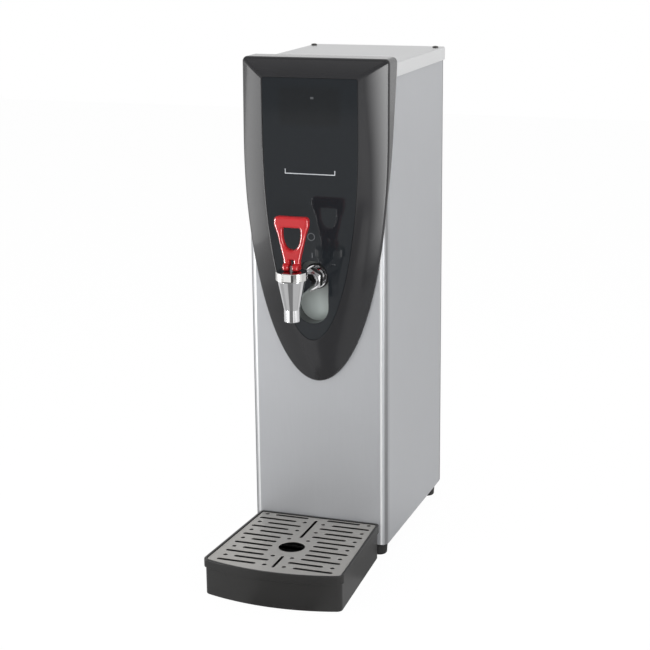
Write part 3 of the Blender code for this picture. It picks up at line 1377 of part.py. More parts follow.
def water_inlet():
    """Rear fitting, solenoid valve below the tank, and the fill tube up to the lid."""
    size = (VALVE_WIDTH, VALVE_REAR - VALVE_FRONT, VALVE_HEIGHT)
    middle = (VALVE_X, (VALVE_REAR + VALVE_FRONT) / 2, VALVE_Z)
    obj = place("inlet_valve", block(size, VALVE_BEVEL, 1), TRAY_BLACK, middle)
    coil_end = VALVE_X - VALVE_WIDTH / 2 - COIL_LENGTH
    fuse(obj, round_bar(COIL_RADIUS, (VALVE_X, COIL_Y, VALVE_Z), (coil_end, COIL_Y, VALVE_Z), BORE_SIDES))

    seat = BODY_DEPTH + GAP
    profile = [
        (0, VALVE_REAR + GAP - seat),
        (FITTING_THREAD, VALVE_REAR + GAP - seat),
        (FITTING_THREAD, REAR_END - seat - FITTING_CHAMFER),
        (FITTING_THREAD - FITTING_CHAMFER, REAR_END - seat),
        (0, REAR_END - seat),
    ]
    body = along_y(turned([(r, -h) for r, h in profile], BORE_SIDES), VALVE_X, seat, VALVE_Z)
    fitting = place("inlet_fitting", body, BRASS)
    hex_end = (VALVE_X, seat + FITTING_HEX_LENGTH, VALVE_Z)
    nut = round_bar(FITTING_HEX, (VALVE_X, seat, VALVE_Z), hex_end, HEX_SIDES)
    bore = round_bar(FITTING_BORE, (VALVE_X, VALVE_FRONT, VALVE_Z), (VALVE_X, REAR_END + OVERRUN, VALVE_Z))
    fuse(fitting, nut)
    cut(fitting, bore)

    turn = (FILL_TUBE_Y - FILL_TUBE_PORT_Y) / 2
    crown = LID_TOP + FILL_TUBE_RISE
    route = [(VALVE_X, FILL_TUBE_Y, VALVE_LOW + VALVE_HEIGHT + GAP)]
    route += [(VALVE_X, y, z) for y, z in arc((FILL_TUBE_Y - turn, crown), turn, 0, 180, 10)]
    route.append((VALVE_X, FILL_TUBE_PORT_Y, LID_BOTTOM - FILL_TUBE_DIP))
    place("fill_tube", wire(route, FILL_TUBE_RADIUS), SILICONE)


def on_board(size, shares, face):
    """A box that stands on the rear of the control board, placed by shares of the board's size."""
    x = shares[0] * CONTROL_WIDTH
    z = (BRACKET_PLATE_LOW + BRACKET_PLATE_HIGH) / 2 + shares[1] * (BRACKET_PLATE_HIGH - BRACKET_PLATE_LOW)
    low = (x - size[0] / 2, face, z - size[2] / 2)
    return low, (x + size[0] / 2, face + size[1], z + size[2] / 2)


def controls():
    """Bracket on the body front above the tank, control board on its standoffs, and the heat sink."""
    foot = SHEET + GAP
    half = BRACKET_PLATE_WIDTH / 2
    path = [(half, foot), (half, BRACKET_STAND), (-half, BRACKET_STAND), (-half, foot)]
    sheet = folded(path, BRACKET_PLATE_LOW, BRACKET_PLATE_HIGH)
    bracket = wall(place("board_bracket", sheet, STEEL), SHEET)
    top = BRACKET_STAND + STANDOFF_HEIGHT
    pillars = []
    for x in (-1, 1):
        for z in (BRACKET_PLATE_LOW + STANDOFF_INSET, BRACKET_PLATE_HIGH - STANDOFF_INSET):
            px = x * (CONTROL_WIDTH / 2 - STANDOFF_INSET)
            foot = (px, BRACKET_STAND - SHEET / 2, z)
            pillars.append(round_bar(STANDOFF_RADIUS, foot, (px, top, z), SCREW_SIDES))
    fuse(bracket, *pillars)

    board = top + GAP
    face = board + BOARD_THICKNESS
    half_board = CONTROL_WIDTH / 2
    low, high = BRACKET_PLATE_LOW + CONTROL_MARGIN, BRACKET_PLATE_HIGH - CONTROL_MARGIN
    obj = place("control_board", span((-half_board, board, low), (half_board, face, high)), BOARD)
    carried = (
        (RELAY_SIZE, RELAY_PLACE_SHARES),
        (CHOKE_SIZE, CHOKE_PLACE_SHARES),
        (CONNECTOR_SIZE, CONNECTOR_PLACE_SHARES),
    )
    joins = []
    for size, shares in carried:
        corner, opposite = on_board(size, shares, face)
        joins.append(span((corner[0], face - BOARD_THICKNESS / 2, corner[2]), opposite))
    fuse(obj, *joins)

    corner, opposite = on_board(SINK_SIZE, SINK_PLACE_SHARES, face + GAP)
    sink = place("heat_sink", span(corner, (opposite[0], corner[1] + SINK_BASE, opposite[2])), ALUMINIUM)
    pitch = (SINK_SIZE[0] - SINK_FIN) / (SINK_FINS - 1)
    fins = []
    for i in range(SINK_FINS):
        x = corner[0] + i * pitch
        x_low = x + SINK_FIN_SETBACK * (i == 0)
        x_high = x + SINK_FIN - SINK_FIN_SETBACK * (i == SINK_FINS - 1)
        low_z, high_z = corner[2] + SINK_FIN_SETBACK, opposite[2] - SINK_FIN_SETBACK
        fins.append(span((x_low, corner[1] + SINK_BASE / 2, low_z), (x_high, opposite[1], high_z)))
    fuse(sink, *fins)


def terminal_block():
    """Supply terminals on the pan, beside the cord entry."""
    low = PAN_TOP_FACE + GAP
    width, depth, height = TERMINAL_SIZE
    middle = (TERMINAL_X, TERMINAL_Y, low + height / 2)
    obj = place("terminal_block", block(TERMINAL_SIZE), SILICONE, middle)
    wells = []
    for way in range(TERMINAL_WAYS):
        x = TERMINAL_X + width * ((way + 0.5) / TERMINAL_WAYS - 0.5)
        for side in (-1, 1):
            y = TERMINAL_Y + side * depth / 4
            top = low + height
            well_foot = (x, y, top - TERMINAL_WELL_DEPTH)
            wells.append(round_bar(TERMINAL_WELL, well_foot, (x, y, top + OVERRUN), SCREW_SIDES))
    cut(obj, *wells)


def cord_entry():
    """The cord gland in the back panel and its nut inside."""
    seat = BODY_DEPTH + GAP
    chamfer = GLAND_FLANGE_THICKNESS / 4
    profile = [
        (GLAND_NECK, GLAND_REACH),
        (GLAND_NECK, 0),
        (GLAND_FLANGE, 0),
        (GLAND_FLANGE, chamfer - GLAND_FLANGE_THICKNESS),
        (GLAND_FLANGE - chamfer, -GLAND_FLANGE_THICKNESS),
        (GLAND_BORE, -GLAND_FLANGE_THICKNESS),
        (GLAND_BORE, GLAND_REACH),
    ]
    place("cord_gland", along_y(turned(profile), GLAND_X, seat, GLAND_Z), TRAY_BLACK)
    inside = BODY_DEPTH - SHEET - GAP
    nut_end = (GLAND_X, inside - GLAND_NUT_THICKNESS, GLAND_Z)
    ring = round_bar(GLAND_NUT_RADIUS, (GLAND_X, inside, GLAND_Z), nut_end, HEX_SIDES)
    nut = place("gland_nut", ring, TRAY_BLACK)
    reach = GLAND_NUT_THICKNESS + OVERRUN
    cut(nut, clearance_hole((GLAND_X, inside, GLAND_Z), (0, 1, 0), reach, GLAND_NECK + GAP))


def power_switch():
    """A rocker switch: bezel and housing in the back panel, and the rocker on its pivots."""
    face = BODY_DEPTH + GAP + SWITCH_BEZEL
    half_x, half_z = SWITCH_WIDTH / 2, SWITCH_HEIGHT / 2
    low = (SWITCH_X - half_x, face - SWITCH_DEPTH, SWITCH_Z - half_z)
    high = (SWITCH_X + half_x, face - GAP, SWITCH_Z + half_z)
    obj = place("power_switch_body", span(low, high), TRAY_BLACK)
    rim_x, rim_z = half_x + SWITCH_BEZEL_MARGIN, half_z + SWITCH_BEZEL_MARGIN
    rim_low = (SWITCH_X - rim_x, face - SWITCH_BEZEL, SWITCH_Z - rim_z)
    rim = span(rim_low, (SWITCH_X + rim_x, face, SWITCH_Z + rim_z))
    fuse(obj, rim)
    hollow_x, hollow_z = half_x - SWITCH_CAVITY_WALL, half_z - SWITCH_CAVITY_WALL
    cavity = span(
        (SWITCH_X - hollow_x, face - SWITCH_CAVITY_DEPTH, SWITCH_Z - hollow_z),
        (SWITCH_X + hollow_x, face + OVERRUN, SWITCH_Z + hollow_z),
    )
    axis = (SWITCH_X, face - ROCKER_AXIS_DEPTH, SWITCH_Z)
    pivot_reach = hollow_x + ROCKER_PIVOT_LENGTH + GAP
    cut(obj, cavity, clearance_hole(axis, (1, 0, 0), pivot_reach, ROCKER_PIVOT + GAP))

    half = hollow_z - ROCKER_END_GAP
    outline = [
        (ROCKER_PROUD, -half),
        (ROCKER_PROUD - ROCKER_DISH, 0),
        (ROCKER_PROUD, half),
        (0, half),
        (-ROCKER_BACK, half / 2),
        (-ROCKER_BACK, -half / 2),
        (0, -half),
    ]
    width = 2 * (hollow_x - GAP)
    tilt = Matrix.Rotation(-ROCKER_SWING / 2, 4, "X")
    mesh = sideways(flat([outline], width))
    mesh.transform(tilt)
    rocker = place("switch_rocker", mesh, TRAY_BLACK, axis)
    reach = hollow_x + ROCKER_PIVOT_LENGTH
    fuse(rocker, clearance_hole(axis, (1, 0, 0), reach, ROCKER_PIVOT))


def main():
    body_wrap()
    base_pan()
    feet()
    back_panel()
    top_cover()
    fascia()
    panel_overlay()
    display_board()
    drip_tray()
    drip_grille()
    shank()
    faucet_body()
    faucet_bonnet()
    valve()
    tap_handle()
    tank()
    insulation_jacket()
    outlet_tube()
    tank_brackets()
    heating_element()
    probes()
    limit_thermostat()
    water_inlet()
    controls()
    terminal_block()
    cord_entry()
    power_switch()


main()
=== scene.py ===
"""Looks of the counter-top hot-water dispenser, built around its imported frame.

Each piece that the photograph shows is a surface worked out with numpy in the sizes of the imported
solids. The pieces at the rear and inside keep their solids. Each finish is a small class that
writes its own node graph. Sizes are in metres, and depths count from the body's front face.
"""
import enum
import logging
import math
from dataclasses import dataclass
from typing import Callable, Sequence, Union

import bmesh
import bpy
import numpy as np
from mathutils import Matrix, Vector, geometry


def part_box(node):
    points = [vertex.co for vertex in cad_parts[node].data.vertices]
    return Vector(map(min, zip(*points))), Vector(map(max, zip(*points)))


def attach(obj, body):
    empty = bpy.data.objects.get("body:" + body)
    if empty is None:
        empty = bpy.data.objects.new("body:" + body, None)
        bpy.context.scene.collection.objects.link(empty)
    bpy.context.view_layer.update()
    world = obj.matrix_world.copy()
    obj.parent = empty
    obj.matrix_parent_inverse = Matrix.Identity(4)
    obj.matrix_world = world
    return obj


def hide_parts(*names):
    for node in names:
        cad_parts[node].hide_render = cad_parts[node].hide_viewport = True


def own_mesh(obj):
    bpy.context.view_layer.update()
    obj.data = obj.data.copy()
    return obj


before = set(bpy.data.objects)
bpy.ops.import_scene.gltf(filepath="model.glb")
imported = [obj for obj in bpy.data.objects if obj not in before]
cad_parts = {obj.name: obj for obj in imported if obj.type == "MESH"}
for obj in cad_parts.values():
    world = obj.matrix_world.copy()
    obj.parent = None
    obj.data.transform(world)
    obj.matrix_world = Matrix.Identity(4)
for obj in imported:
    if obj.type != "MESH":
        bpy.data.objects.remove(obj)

LOG = logging.getLogger("water_boiler")
WELD_DIGITS = 7
FILL_SCALE = 1000
FILL_CLOSE = 1e-6
GRID_PARTS = 32
RIM_CLEAR = 0.6
BODY_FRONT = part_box("body_wrap")[0].y
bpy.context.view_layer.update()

Number = Union[float, "Signal"]
Pair = tuple[float, float]
Triple = tuple[float, float, float]
Colour = Triple
WHITE: Colour = (1.0, 1.0, 1.0)


def operation(name: str, turned: bool = False) -> Callable[..., "Signal"]:
    """A method that adds one Math node for its own value and another.

    Args:
        name: The node's operation.
        turned: Whether the other value comes first, as in a reflected operator.

    Returns:
        The method, whose other value may be left out where the operation takes one.
    """

    def method(self: "Signal", other: Number = 0.0) -> "Signal":
        """Link both values to the node, and return its output."""
        first, second = (other, self) if turned else (self, other)
        return self.graph.node("ShaderNodeMath", {"operation": name}, {0: first, 1: second})

    return method


class Signal:
    """A socket of a node graph that takes part in Python arithmetic.

    Its minimum, maximum, power and arctan2 are those of numpy.

    Args:
        graph: The graph that the socket belongs to.
        socket: The output socket whose value this stands for.
    """

    __add__ = __radd__ = operation("ADD")
    __mul__ = __rmul__ = operation("MULTIPLY")
    __sub__ = operation("SUBTRACT")
    __rsub__ = operation("SUBTRACT", turned=True)
    __truediv__ = operation("DIVIDE")
    __rtruediv__ = operation("DIVIDE", turned=True)
    __abs__ = operation("ABSOLUTE")
    minimum = operation("MINIMUM")
    maximum = operation("MAXIMUM")
    power = operation("POWER")
    arctan2 = operation("ARCTAN2")

    def __init__(self, graph: "Graph", socket: bpy.types.NodeSocket) -> None:
        self.graph = graph
        self.socket = socket

    def __neg__(self) -> "Signal":
        """The value with its sign turned."""
        return self * -1.0

    def length(self, other: "Signal") -> "Signal":
        """Length of the direction whose two parts these are."""
        return (self * self + other * other).power(0.5)

    def mix(self, first: Number, second: Number) -> "Signal":
        """The first value where this one is nothing, the second where it is one."""
        return self * second + (1.0 - self) * first

    def band(self, centre: Number, half: float, soft: float) -> "Signal":
        """One where the value lies within half of centre, falling to nothing over soft."""
        return abs(self - centre).step(half + soft, half)

    def between(self, low: float, high: float, soft: float) -> "Signal":
        """One where the value lies from low to high, falling to nothing over soft."""
        return self.band((low + high) / 2, (high - low) / 2, soft)

    def step(self, low: float, high: float) -> "Signal":
        """Smooth rise from nothing at low to one at high; low may be the larger."""
        settings = {"interpolation_type": "SMOOTHSTEP", "clamp": True}
        inputs = {"Value": self, 1: low, 2: high, 3: 0.0, 4: 1.0}
        return self.graph.node("ShaderNodeMapRange", settings, inputs)

    def ramp(self, low: float, high: float, first: float, last: float) -> "Signal":
        """Even change from first at low to last at high, held beyond both."""
        inputs = {"Value": self, 1: low, 2: high, 3: first, 4: last}
        return self.graph.node("ShaderNodeMapRange", {"clamp": True}, inputs)


@dataclass(frozen=True)
class Noise:
    """A noise from nothing to one: scale, detail, roughness and a stretch in each direction."""

    scale: float
    detail: float = 2.0
    rough: float = 0.5
    stretch: Triple = (1.0, 1.0, 1.0)


class Graph:
    """Builds the node graph of a new material or world.

    Args:
        owner: The material or world.
    """

    def __init__(self, owner: Union[bpy.types.Material, bpy.types.World]) -> None:
        owner.use_nodes = True
        self.owner = owner
        self.tree = owner.node_tree

    def node(self, kind: str, settings: dict, inputs: dict, output: Union[int, str] = 0) -> Signal:
        """Add a node: its settings first, then the values or links of its sockets.

        Args:
            kind: The node's type name.
            settings: Properties by name.
            inputs: Socket name or index to a number, a colour, a vector or a Signal.
            output: The output socket to return.

        Returns:
            The chosen output as a Signal.
        """
        made = self.tree.nodes.new(kind)
        for key, value in settings.items():
            setattr(made, key, value)
        for key, value in inputs.items():
            self.feed(made.inputs[key], value)
        return Signal(self, made.outputs[output])

    def feed(self, socket: bpy.types.NodeSocket, value: object) -> None:
        """Link a Signal to a socket, or set the socket's own value.

        Args:
            socket: An input.
            value: A Signal, a number, a colour or a vector.
        """
        if isinstance(value, Signal):
            self.tree.links.new(value.socket, socket)
        elif isinstance(value, tuple) and len(value) == 3 and len(socket.default_value) == 4:
            socket.default_value = (*value, 1.0)
        else:
            socket.default_value = value

    def place(self, kind: str = "Object") -> Signal:
        """Coordinates; the Object kind is metres in the frame of the whole object."""
        return self.node("ShaderNodeTexCoord", {}, {}, kind)

    def axes(self, vector: Signal) -> tuple[Signal, ...]:
        """The three parts of a vector."""
        split = self.node("ShaderNodeSeparateXYZ", {}, {0: vector}).socket.node
        return tuple(Signal(self, output) for output in split.outputs)

    def noise(self, vector: Signal, kind: Noise) -> Signal:
        """A kind of noise over a vector.

        Args:
            vector: The coordinates.
            kind: Which noise.

        Returns:
            The noise's value.
        """
        if kind.stretch != Noise.stretch:
            stretch = {0: vector, 1: kind.stretch}
            vector = self.node("ShaderNodeVectorMath", {"operation": "MULTIPLY"}, stretch)
        inputs = {"Scale": kind.scale, "Detail": kind.detail, "Roughness": kind.rough}
        return self.node("ShaderNodeTexNoise", {}, {"Vector": vector, **inputs})

    def mixed(self, factor: Number, first: object, second: object) -> Signal:
        """A colour between two colours."""
        settings = {"data_type": "RGBA", "clamp_factor": True}
        return self.node("ShaderNodeMix", settings, {0: factor, 6: first, 7: second}, 2)

    def bump(self, height: Signal, distance: float, strength: float) -> Signal:
        """A bumped normal from a height between nothing and one."""
        inputs = {"Strength": strength, "Distance": distance, "Height": height}
        return self.node("ShaderNodeBump", {}, inputs)

    def ray(self, kind: str) -> Signal:
        """One for a kind of ray, nothing for the others."""
        return self.node("ShaderNodeLightPath", {}, {}, kind)

    def principled(self) -> Signal:
        """The Principled shader as it is fed."""
        return Signal(self, self.tree.nodes["Principled BSDF"].outputs[0])

    def glow(self, strength: float) -> Signal:
        """A white emission shader."""
        return self.node("ShaderNodeEmission", {}, {"Color": WHITE, "Strength": strength})

    def shaders(self, factor: Number, first: Signal, second: Signal) -> Signal:
        """A mix of two shaders."""
        return self.node("ShaderNodeMixShader", {}, {0: factor, 1: first, 2: second})

    def finish(self, sockets: dict[str, object], name: str = "Principled BSDF") -> bpy.types.ID:
        """Feed a node that every new graph has.

        Args:
            sockets: Values or Signals by socket name.
            name: The node's name.

        Returns:
            The finished material or world.
        """
        for key, value in sockets.items():
            self.feed(self.tree.nodes[name].inputs[key], value)
        return self.owner


def tinted(colour: Colour, factor: float, lift: float = 0.0) -> Colour:
    """A colour made paler or darker by a factor and a lift, up to white."""
    return tuple(min(1.0, part * factor + lift) for part in colour)


@dataclass(frozen=True)
class Finish:
    """A named material, of which each kind of finish works out the sockets."""

    name: str

    def material(self) -> bpy.types.Material:
        """Make the material and feed its Principled shader."""
        graph = Graph(bpy.data.materials.new(self.name))
        return graph.finish(self.sockets(graph, graph.place()))

    def sockets(self, graph: Graph, place: Signal) -> dict[str, object]:
        """Values or Signals by socket name, worked out over the object's coordinates."""
        raise NotImplementedError


class Grain(enum.Enum):
    """The way that a brushed sheet's grain runs."""

    UPRIGHT = (1.0, 1.0, 0.012)
    ACROSS = (0.012, 1.0, 1.0)
    DEEP = (1.0, 0.012, 1.0)


@dataclass(frozen=True)
class BrushedSheet(Finish):
    """Satin stainless sheet: fine grain in one direction and slow cloudy wear in its gloss."""

    grain: Grain
    colour: Colour = (0.56, 0.56, 0.57)
    rough: float = 0.34
    grain_scale: float = 2600.0
    metal: float = 1.0
    clouds: Noise = Noise(9.0, 3.0, 0.55)
    smears: Noise = Noise(34.0, 4.0, 0.6, (1.0, 1.0, 0.35))
    tone_shares: Pair = (0.55, 0.35)
    rough_shares: Triple = (0.10, 0.07, 0.04)
    spread: Pair = (0.90, 1.09)
    grain_bump: Pair = (0.00002, 0.30)

    def sockets(self, graph: Graph, place: Signal) -> dict[str, object]:
        """Colour and roughness follow stretched noise; the bump is the same grain.

        Args:
            graph: The material's graph.
            place: Object coordinates.

        Returns:
            Values or Signals by socket name.
        """
        kinds = (Noise(self.grain_scale, 3.0, 0.6, self.grain.value), self.clouds, self.smears)
        noises = [graph.noise(place, kind) for kind in kinds]
        grain, clouds, smears = (noise - 0.5 for noise in noises)
        grain_tone, cloud_tone = self.tone_shares
        tone = grain * grain_tone + clouds * cloud_tone + 0.5
        grain_rough, cloud_rough, smear_rough = self.rough_shares
        rough = grain * grain_rough + clouds * cloud_rough + smears * smear_rough + self.rough
        dark, pale = (tinted(self.colour, factor) for factor in self.spread)
        return {
            "Base Color": self.tone(graph, place, graph.mixed(tone, dark, pale)),
            "Roughness": rough,
            "Metallic": self.metal,
            "Normal": graph.bump(noises[0], *self.grain_bump),
        }

    def tone(self, graph: Graph, place: Signal, sheet: Signal) -> Signal:
        """The sheet's colour as it is; finishes built on this one may change it."""
        return sheet


@dataclass(frozen=True)
class FoldedSheet(BrushedSheet):
    """Satin sheet with a painted highlight along its front folds beside a painted dark reflection
    band, and painted shade in the tap's well.
    """

    # Painted highlight band and painted dark reflection band along both front corner folds.
    highlight_band: Triple = (0.0793, 0.0007, 0.0010)
    dark_reflection_band: Triple = (0.0843, 0.0010, 0.0010)
    fold_depth: float = 0.012
    fold_fade: float = 0.002
    fold_highlight: Colour = (0.97, 0.975, 0.98)
    fold_highlight_share: float = 0.9
    fold_dark_reflection: Colour = (0.22, 0.22, 0.225)
    fold_dark_reflection_share: float = 0.85
    # Painted shade on the body's front behind the tap's well: greenish low down, darker towards its
    # top.
    well_across: Triple = (0.0, 0.022, 0.002)
    well_up: Triple = (0.32, 0.06, 0.004)
    shaded: Pair = (0.300, 0.350)
    low_shade: Colour = (0.50, 0.555, 0.535)
    high_shade: Colour = (0.20, 0.21, 0.205)

    def tone(self, graph: Graph, place: Signal, sheet: Signal) -> Signal:
        """The painted highlight and painted dark reflection on the folds are bands of the distance
        from the middle; painted shade darkens the well's back with height.

        Args:
            graph: The material's graph.
            place: Object coordinates.
            sheet: The plain sheet's colour.

        Returns:
            The colour with the folds' painted highlight and painted dark reflection, and the well's
            painted shade.
        """
        x, y, z = graph.axes(place)
        rear = BODY_FRONT + self.fold_depth
        front = y.step(rear + self.fold_fade, rear)
        # Masks of the painted highlight and the painted dark reflection along the front folds.
        bright, fold_dark_reflection = (abs(x).band(*fold) * front for fold in (self.highlight_band, self.dark_reflection_band))
        # Mask of the painted shade, where the well shows the body's front.
        behind = x.band(*self.well_across) * z.band(*self.well_up) * front
        # Painted shade colour, darker towards the top of the well.
        well = graph.mixed(z.step(*self.shaded), self.low_shade, self.high_shade)
        sheet = graph.mixed(behind, sheet, well)
        # The folds' painted highlight, then their painted dark reflection, over the sheet.
        sheet = graph.mixed(bright * self.fold_highlight_share, sheet, self.fold_highlight)
        return graph.mixed(fold_dark_reflection * self.fold_dark_reflection_share, sheet, self.fold_dark_reflection)


@dataclass(frozen=True)
class PunchedSheet(BrushedSheet):
    """A brushed plate whose punched walls, below its face, carry a painted shade."""

    face: float = 0.0429
    face_fade: float = 0.0003
    # Painted shade colour for the punched walls below the face.
    painted_wall_shade: Colour = (0.035, 0.034, 0.032)

    def tone(self, graph: Graph, place: Signal, sheet: Signal) -> Signal:
        """Below the face's height the walls of the openings are darkened by a painted shade."""
        _, _, z = graph.axes(place)
        # Painted shade on the walls below the face.
        return graph.mixed(z.step(self.face, self.face - self.face_fade), sheet, self.painted_wall_shade)


@dataclass(frozen=True)
class PolishedPlate(Finish):
    """Bright plate over a cast or turned piece: near mirror, with faint ripples and some haze."""

    colour: Colour = (0.86, 0.86, 0.87)
    rough: float = 0.06
    haze: float = 0.06
    haze_span: Pair = (0.45, 0.80)
    shade: float = 0.93
    patches: Noise = Noise(55.0, 4.0, 0.6)
    ripples: Noise = Noise(120.0, 1.0)
    ripple_bump: Pair = (0.00004, 0.5)

    def sockets(self, graph: Graph, place: Signal) -> dict[str, object]:
        """Roughness rises in soft patches; a slow noise bump ripples the reflections.

        Args:
            graph: The material's graph.
            place: Object coordinates.

        Returns:
            Values or Signals by socket name.
        """
        patches = graph.noise(place, self.patches)
        return {
            "Base Color": graph.mixed(patches, tinted(self.colour, self.shade), self.colour),
            "Roughness": patches.step(*self.haze_span) * self.haze + self.rough,
            "Metallic": 1.0,
            "Normal": graph.bump(graph.noise(place, self.ripples), *self.ripple_bump),
        }


@dataclass(frozen=True)
class MouldedPlastic(Finish):
    """A moulded plastic: base colour with slight drift, fine texture, and wear in its gloss."""

    colour: Colour
    rough: float
    texture: float = 0.00002
    texture_scale: float = 2200.0
    coat: float = 0.0
    drift: float = 0.12
    scuffs: float = 0.10
    scuff_span: Pair = (0.60, 0.78)
    lift: float = 0.004
    gloss_drift: float = 0.05
    texture_strength: float = 0.35
    coat_rough: float = 0.04
    slow: Noise = Noise(14.0, 3.0)
    streaks: Noise = Noise(140.0, 5.0, 0.7, (1.0, 6.0, 0.4))

    def sockets(self, graph: Graph, place: Signal) -> dict[str, object]:
        """Colour drifts with slow noise; scuffs are thin stretched noise in the roughness.

        Args:
            graph: The material's graph.
            place: Object coordinates.

        Returns:
            Values or Signals by socket name.
        """
        slow, streaks = graph.noise(place, self.slow), graph.noise(place, self.streaks)
        fine = graph.noise(place, Noise(self.texture_scale))
        pale = tinted(self.colour, 1 + self.drift, self.drift * self.lift)
        scuffs = streaks.step(*self.scuff_span) * self.scuffs
        return {
            "Base Color": graph.mixed(slow, tinted(self.colour, 1 - self.drift), pale),
            "Roughness": scuffs + (slow - 0.5) * self.gloss_drift + self.rough,
            "Normal": graph.bump(fine, self.texture, self.texture_strength),
            "Coat Weight": self.coat,
            "Coat Roughness": self.coat_rough,
        }


def angles(start: float, end: float, steps: int) -> np.ndarray:
    """Angles in radians from a start to an end in degrees, both included."""
    return np.radians(np.linspace(start, end, steps + 1))


def arc(
    centre: Sequence[float], radius: float, start: float, end: float, steps: int = 12
) -> np.ndarray:
    """Points of an arc between two angles in degrees, both ends included.

    Args:
        centre: Centre in the plane.
        radius: Radius of the arc.
        start: First angle.
        end: Last angle.
        steps: Number of stretches.

    Returns:
        An array of steps + 1 points in the plane.
    """
    turn = angles(start, end, steps)
    return np.array(centre) + radius * np.column_stack([np.cos(turn), np.sin(turn)])


def circle(centre: Sequence[float], radius: float, sides: int = 48) -> np.ndarray:
    """An anticlockwise circle of points, without the repeated last one."""
    return arc(centre, radius, 0, 360, sides)[:-1]


def obround(radius: float, low: float, high: float, steps: int = 24) -> np.ndarray:
    """An upright slot shape between two heights, anticlockwise."""
    upper = arc((0, high - radius), radius, 0, 180, steps)
    return np.vstack([upper, arc((0, low + radius), radius, 180, 360, steps)])


def spaced(points: np.ndarray, step: float) -> np.ndarray:
    """A closed outline with its long stretches divided into lengths of about step.

    Args:
        points: The outline.
        step: The length.

    Returns:
        The outline with more points.
    """
    ahead = np.roll(points, -1, axis=0)
    parts = []
    for start, end in zip(points, ahead):
        count = max(1, int(np.linalg.norm(end - start) / step))
        parts.append(start + (end - start) * np.linspace(0, 1, count, endpoint=False)[:, None])
    return np.vstack(parts)


def offset(points: np.ndarray, distance: float) -> np.ndarray:
    """A closed anticlockwise outline moved inwards by mitred edges; negative moves it outwards.

    Args:
        points: The outline.
        distance: How far each edge moves.

    Returns:
        The moved outline, point for point.
    """
    back = points - np.roll(points, 1, axis=0)
    ahead = np.roll(points, -1, axis=0) - points
    back /= np.linalg.norm(back, axis=1)[:, None]
    ahead /= np.linalg.norm(ahead, axis=1)[:, None]
    inward = np.column_stack([-(back + ahead)[:, 1], (back + ahead)[:, 0]])
    return points + inward * (distance / (1 + np.sum(back * ahead, axis=1)))[:, None]


def inside(points: np.ndarray, loops: Sequence[np.ndarray]) -> np.ndarray:
    """Which points an odd number of loop edges lies to the right of.

    Args:
        points: Points in the plane.
        loops: An outline and its holes.

    Returns:
        True for each point inside the outline and outside the holes.
    """
    odd = np.zeros(len(points), bool)
    for loop in loops:
        ahead = np.roll(loop, -1, axis=0)
        for (ax, ay), (bx, by) in zip(loop, ahead):
            if ay != by:
                crosses = (ay > points[:, 1]) != (by > points[:, 1])
                odd ^= crosses & (points[:, 0] < (bx - ax) * (points[:, 1] - ay) / (by - ay) + ax)
    return odd


def filled(loops: Sequence[np.ndarray], step: float) -> tuple[np.ndarray, np.ndarray]:
    """Triangles over the area that the loops bound, with a grid of points inside it.

    Args:
        loops: The outline and its holes.
        step: Spacing of the grid of inner points.

    Returns:
        Points in the plane, and triples of their indices, anticlockwise.
    """
    rim = np.vstack(loops)
    edges, start = [], 0
    for loop in loops:
        number = np.arange(start, start + len(loop))
        edges += np.column_stack([number, np.roll(number, -1)]).tolist()
        start += len(loop)
    low, high = rim.min(axis=0), rim.max(axis=0)
    axes = [np.arange(a + step / 2, b, step) for a, b in zip(low, high)]
    grid = np.stack(np.meshgrid(*axes), axis=-1).reshape(-1, 2)
    grid = grid[inside(grid, loops)] if len(grid) else grid
    if len(grid):
        nearest = np.concatenate([
            np.linalg.norm(part[:, None] - rim[None], axis=2).min(axis=1)
            for part in np.array_split(grid, GRID_PARTS)
        ])
        grid = grid[nearest > step * RIM_CLEAR]
    given = [Vector(point) for point in np.vstack([rim, grid]) * FILL_SCALE]
    points, _, faces, *_ = geometry.delaunay_2d_cdt(given, edges, [], 0, FILL_CLOSE, False)
    points = np.array([tuple(point) for point in points]) / FILL_SCALE
    faces = np.array([face for face in faces if len(face) == 3])
    middle = points[faces].mean(axis=1)
    return points, faces[inside(middle, loops)]


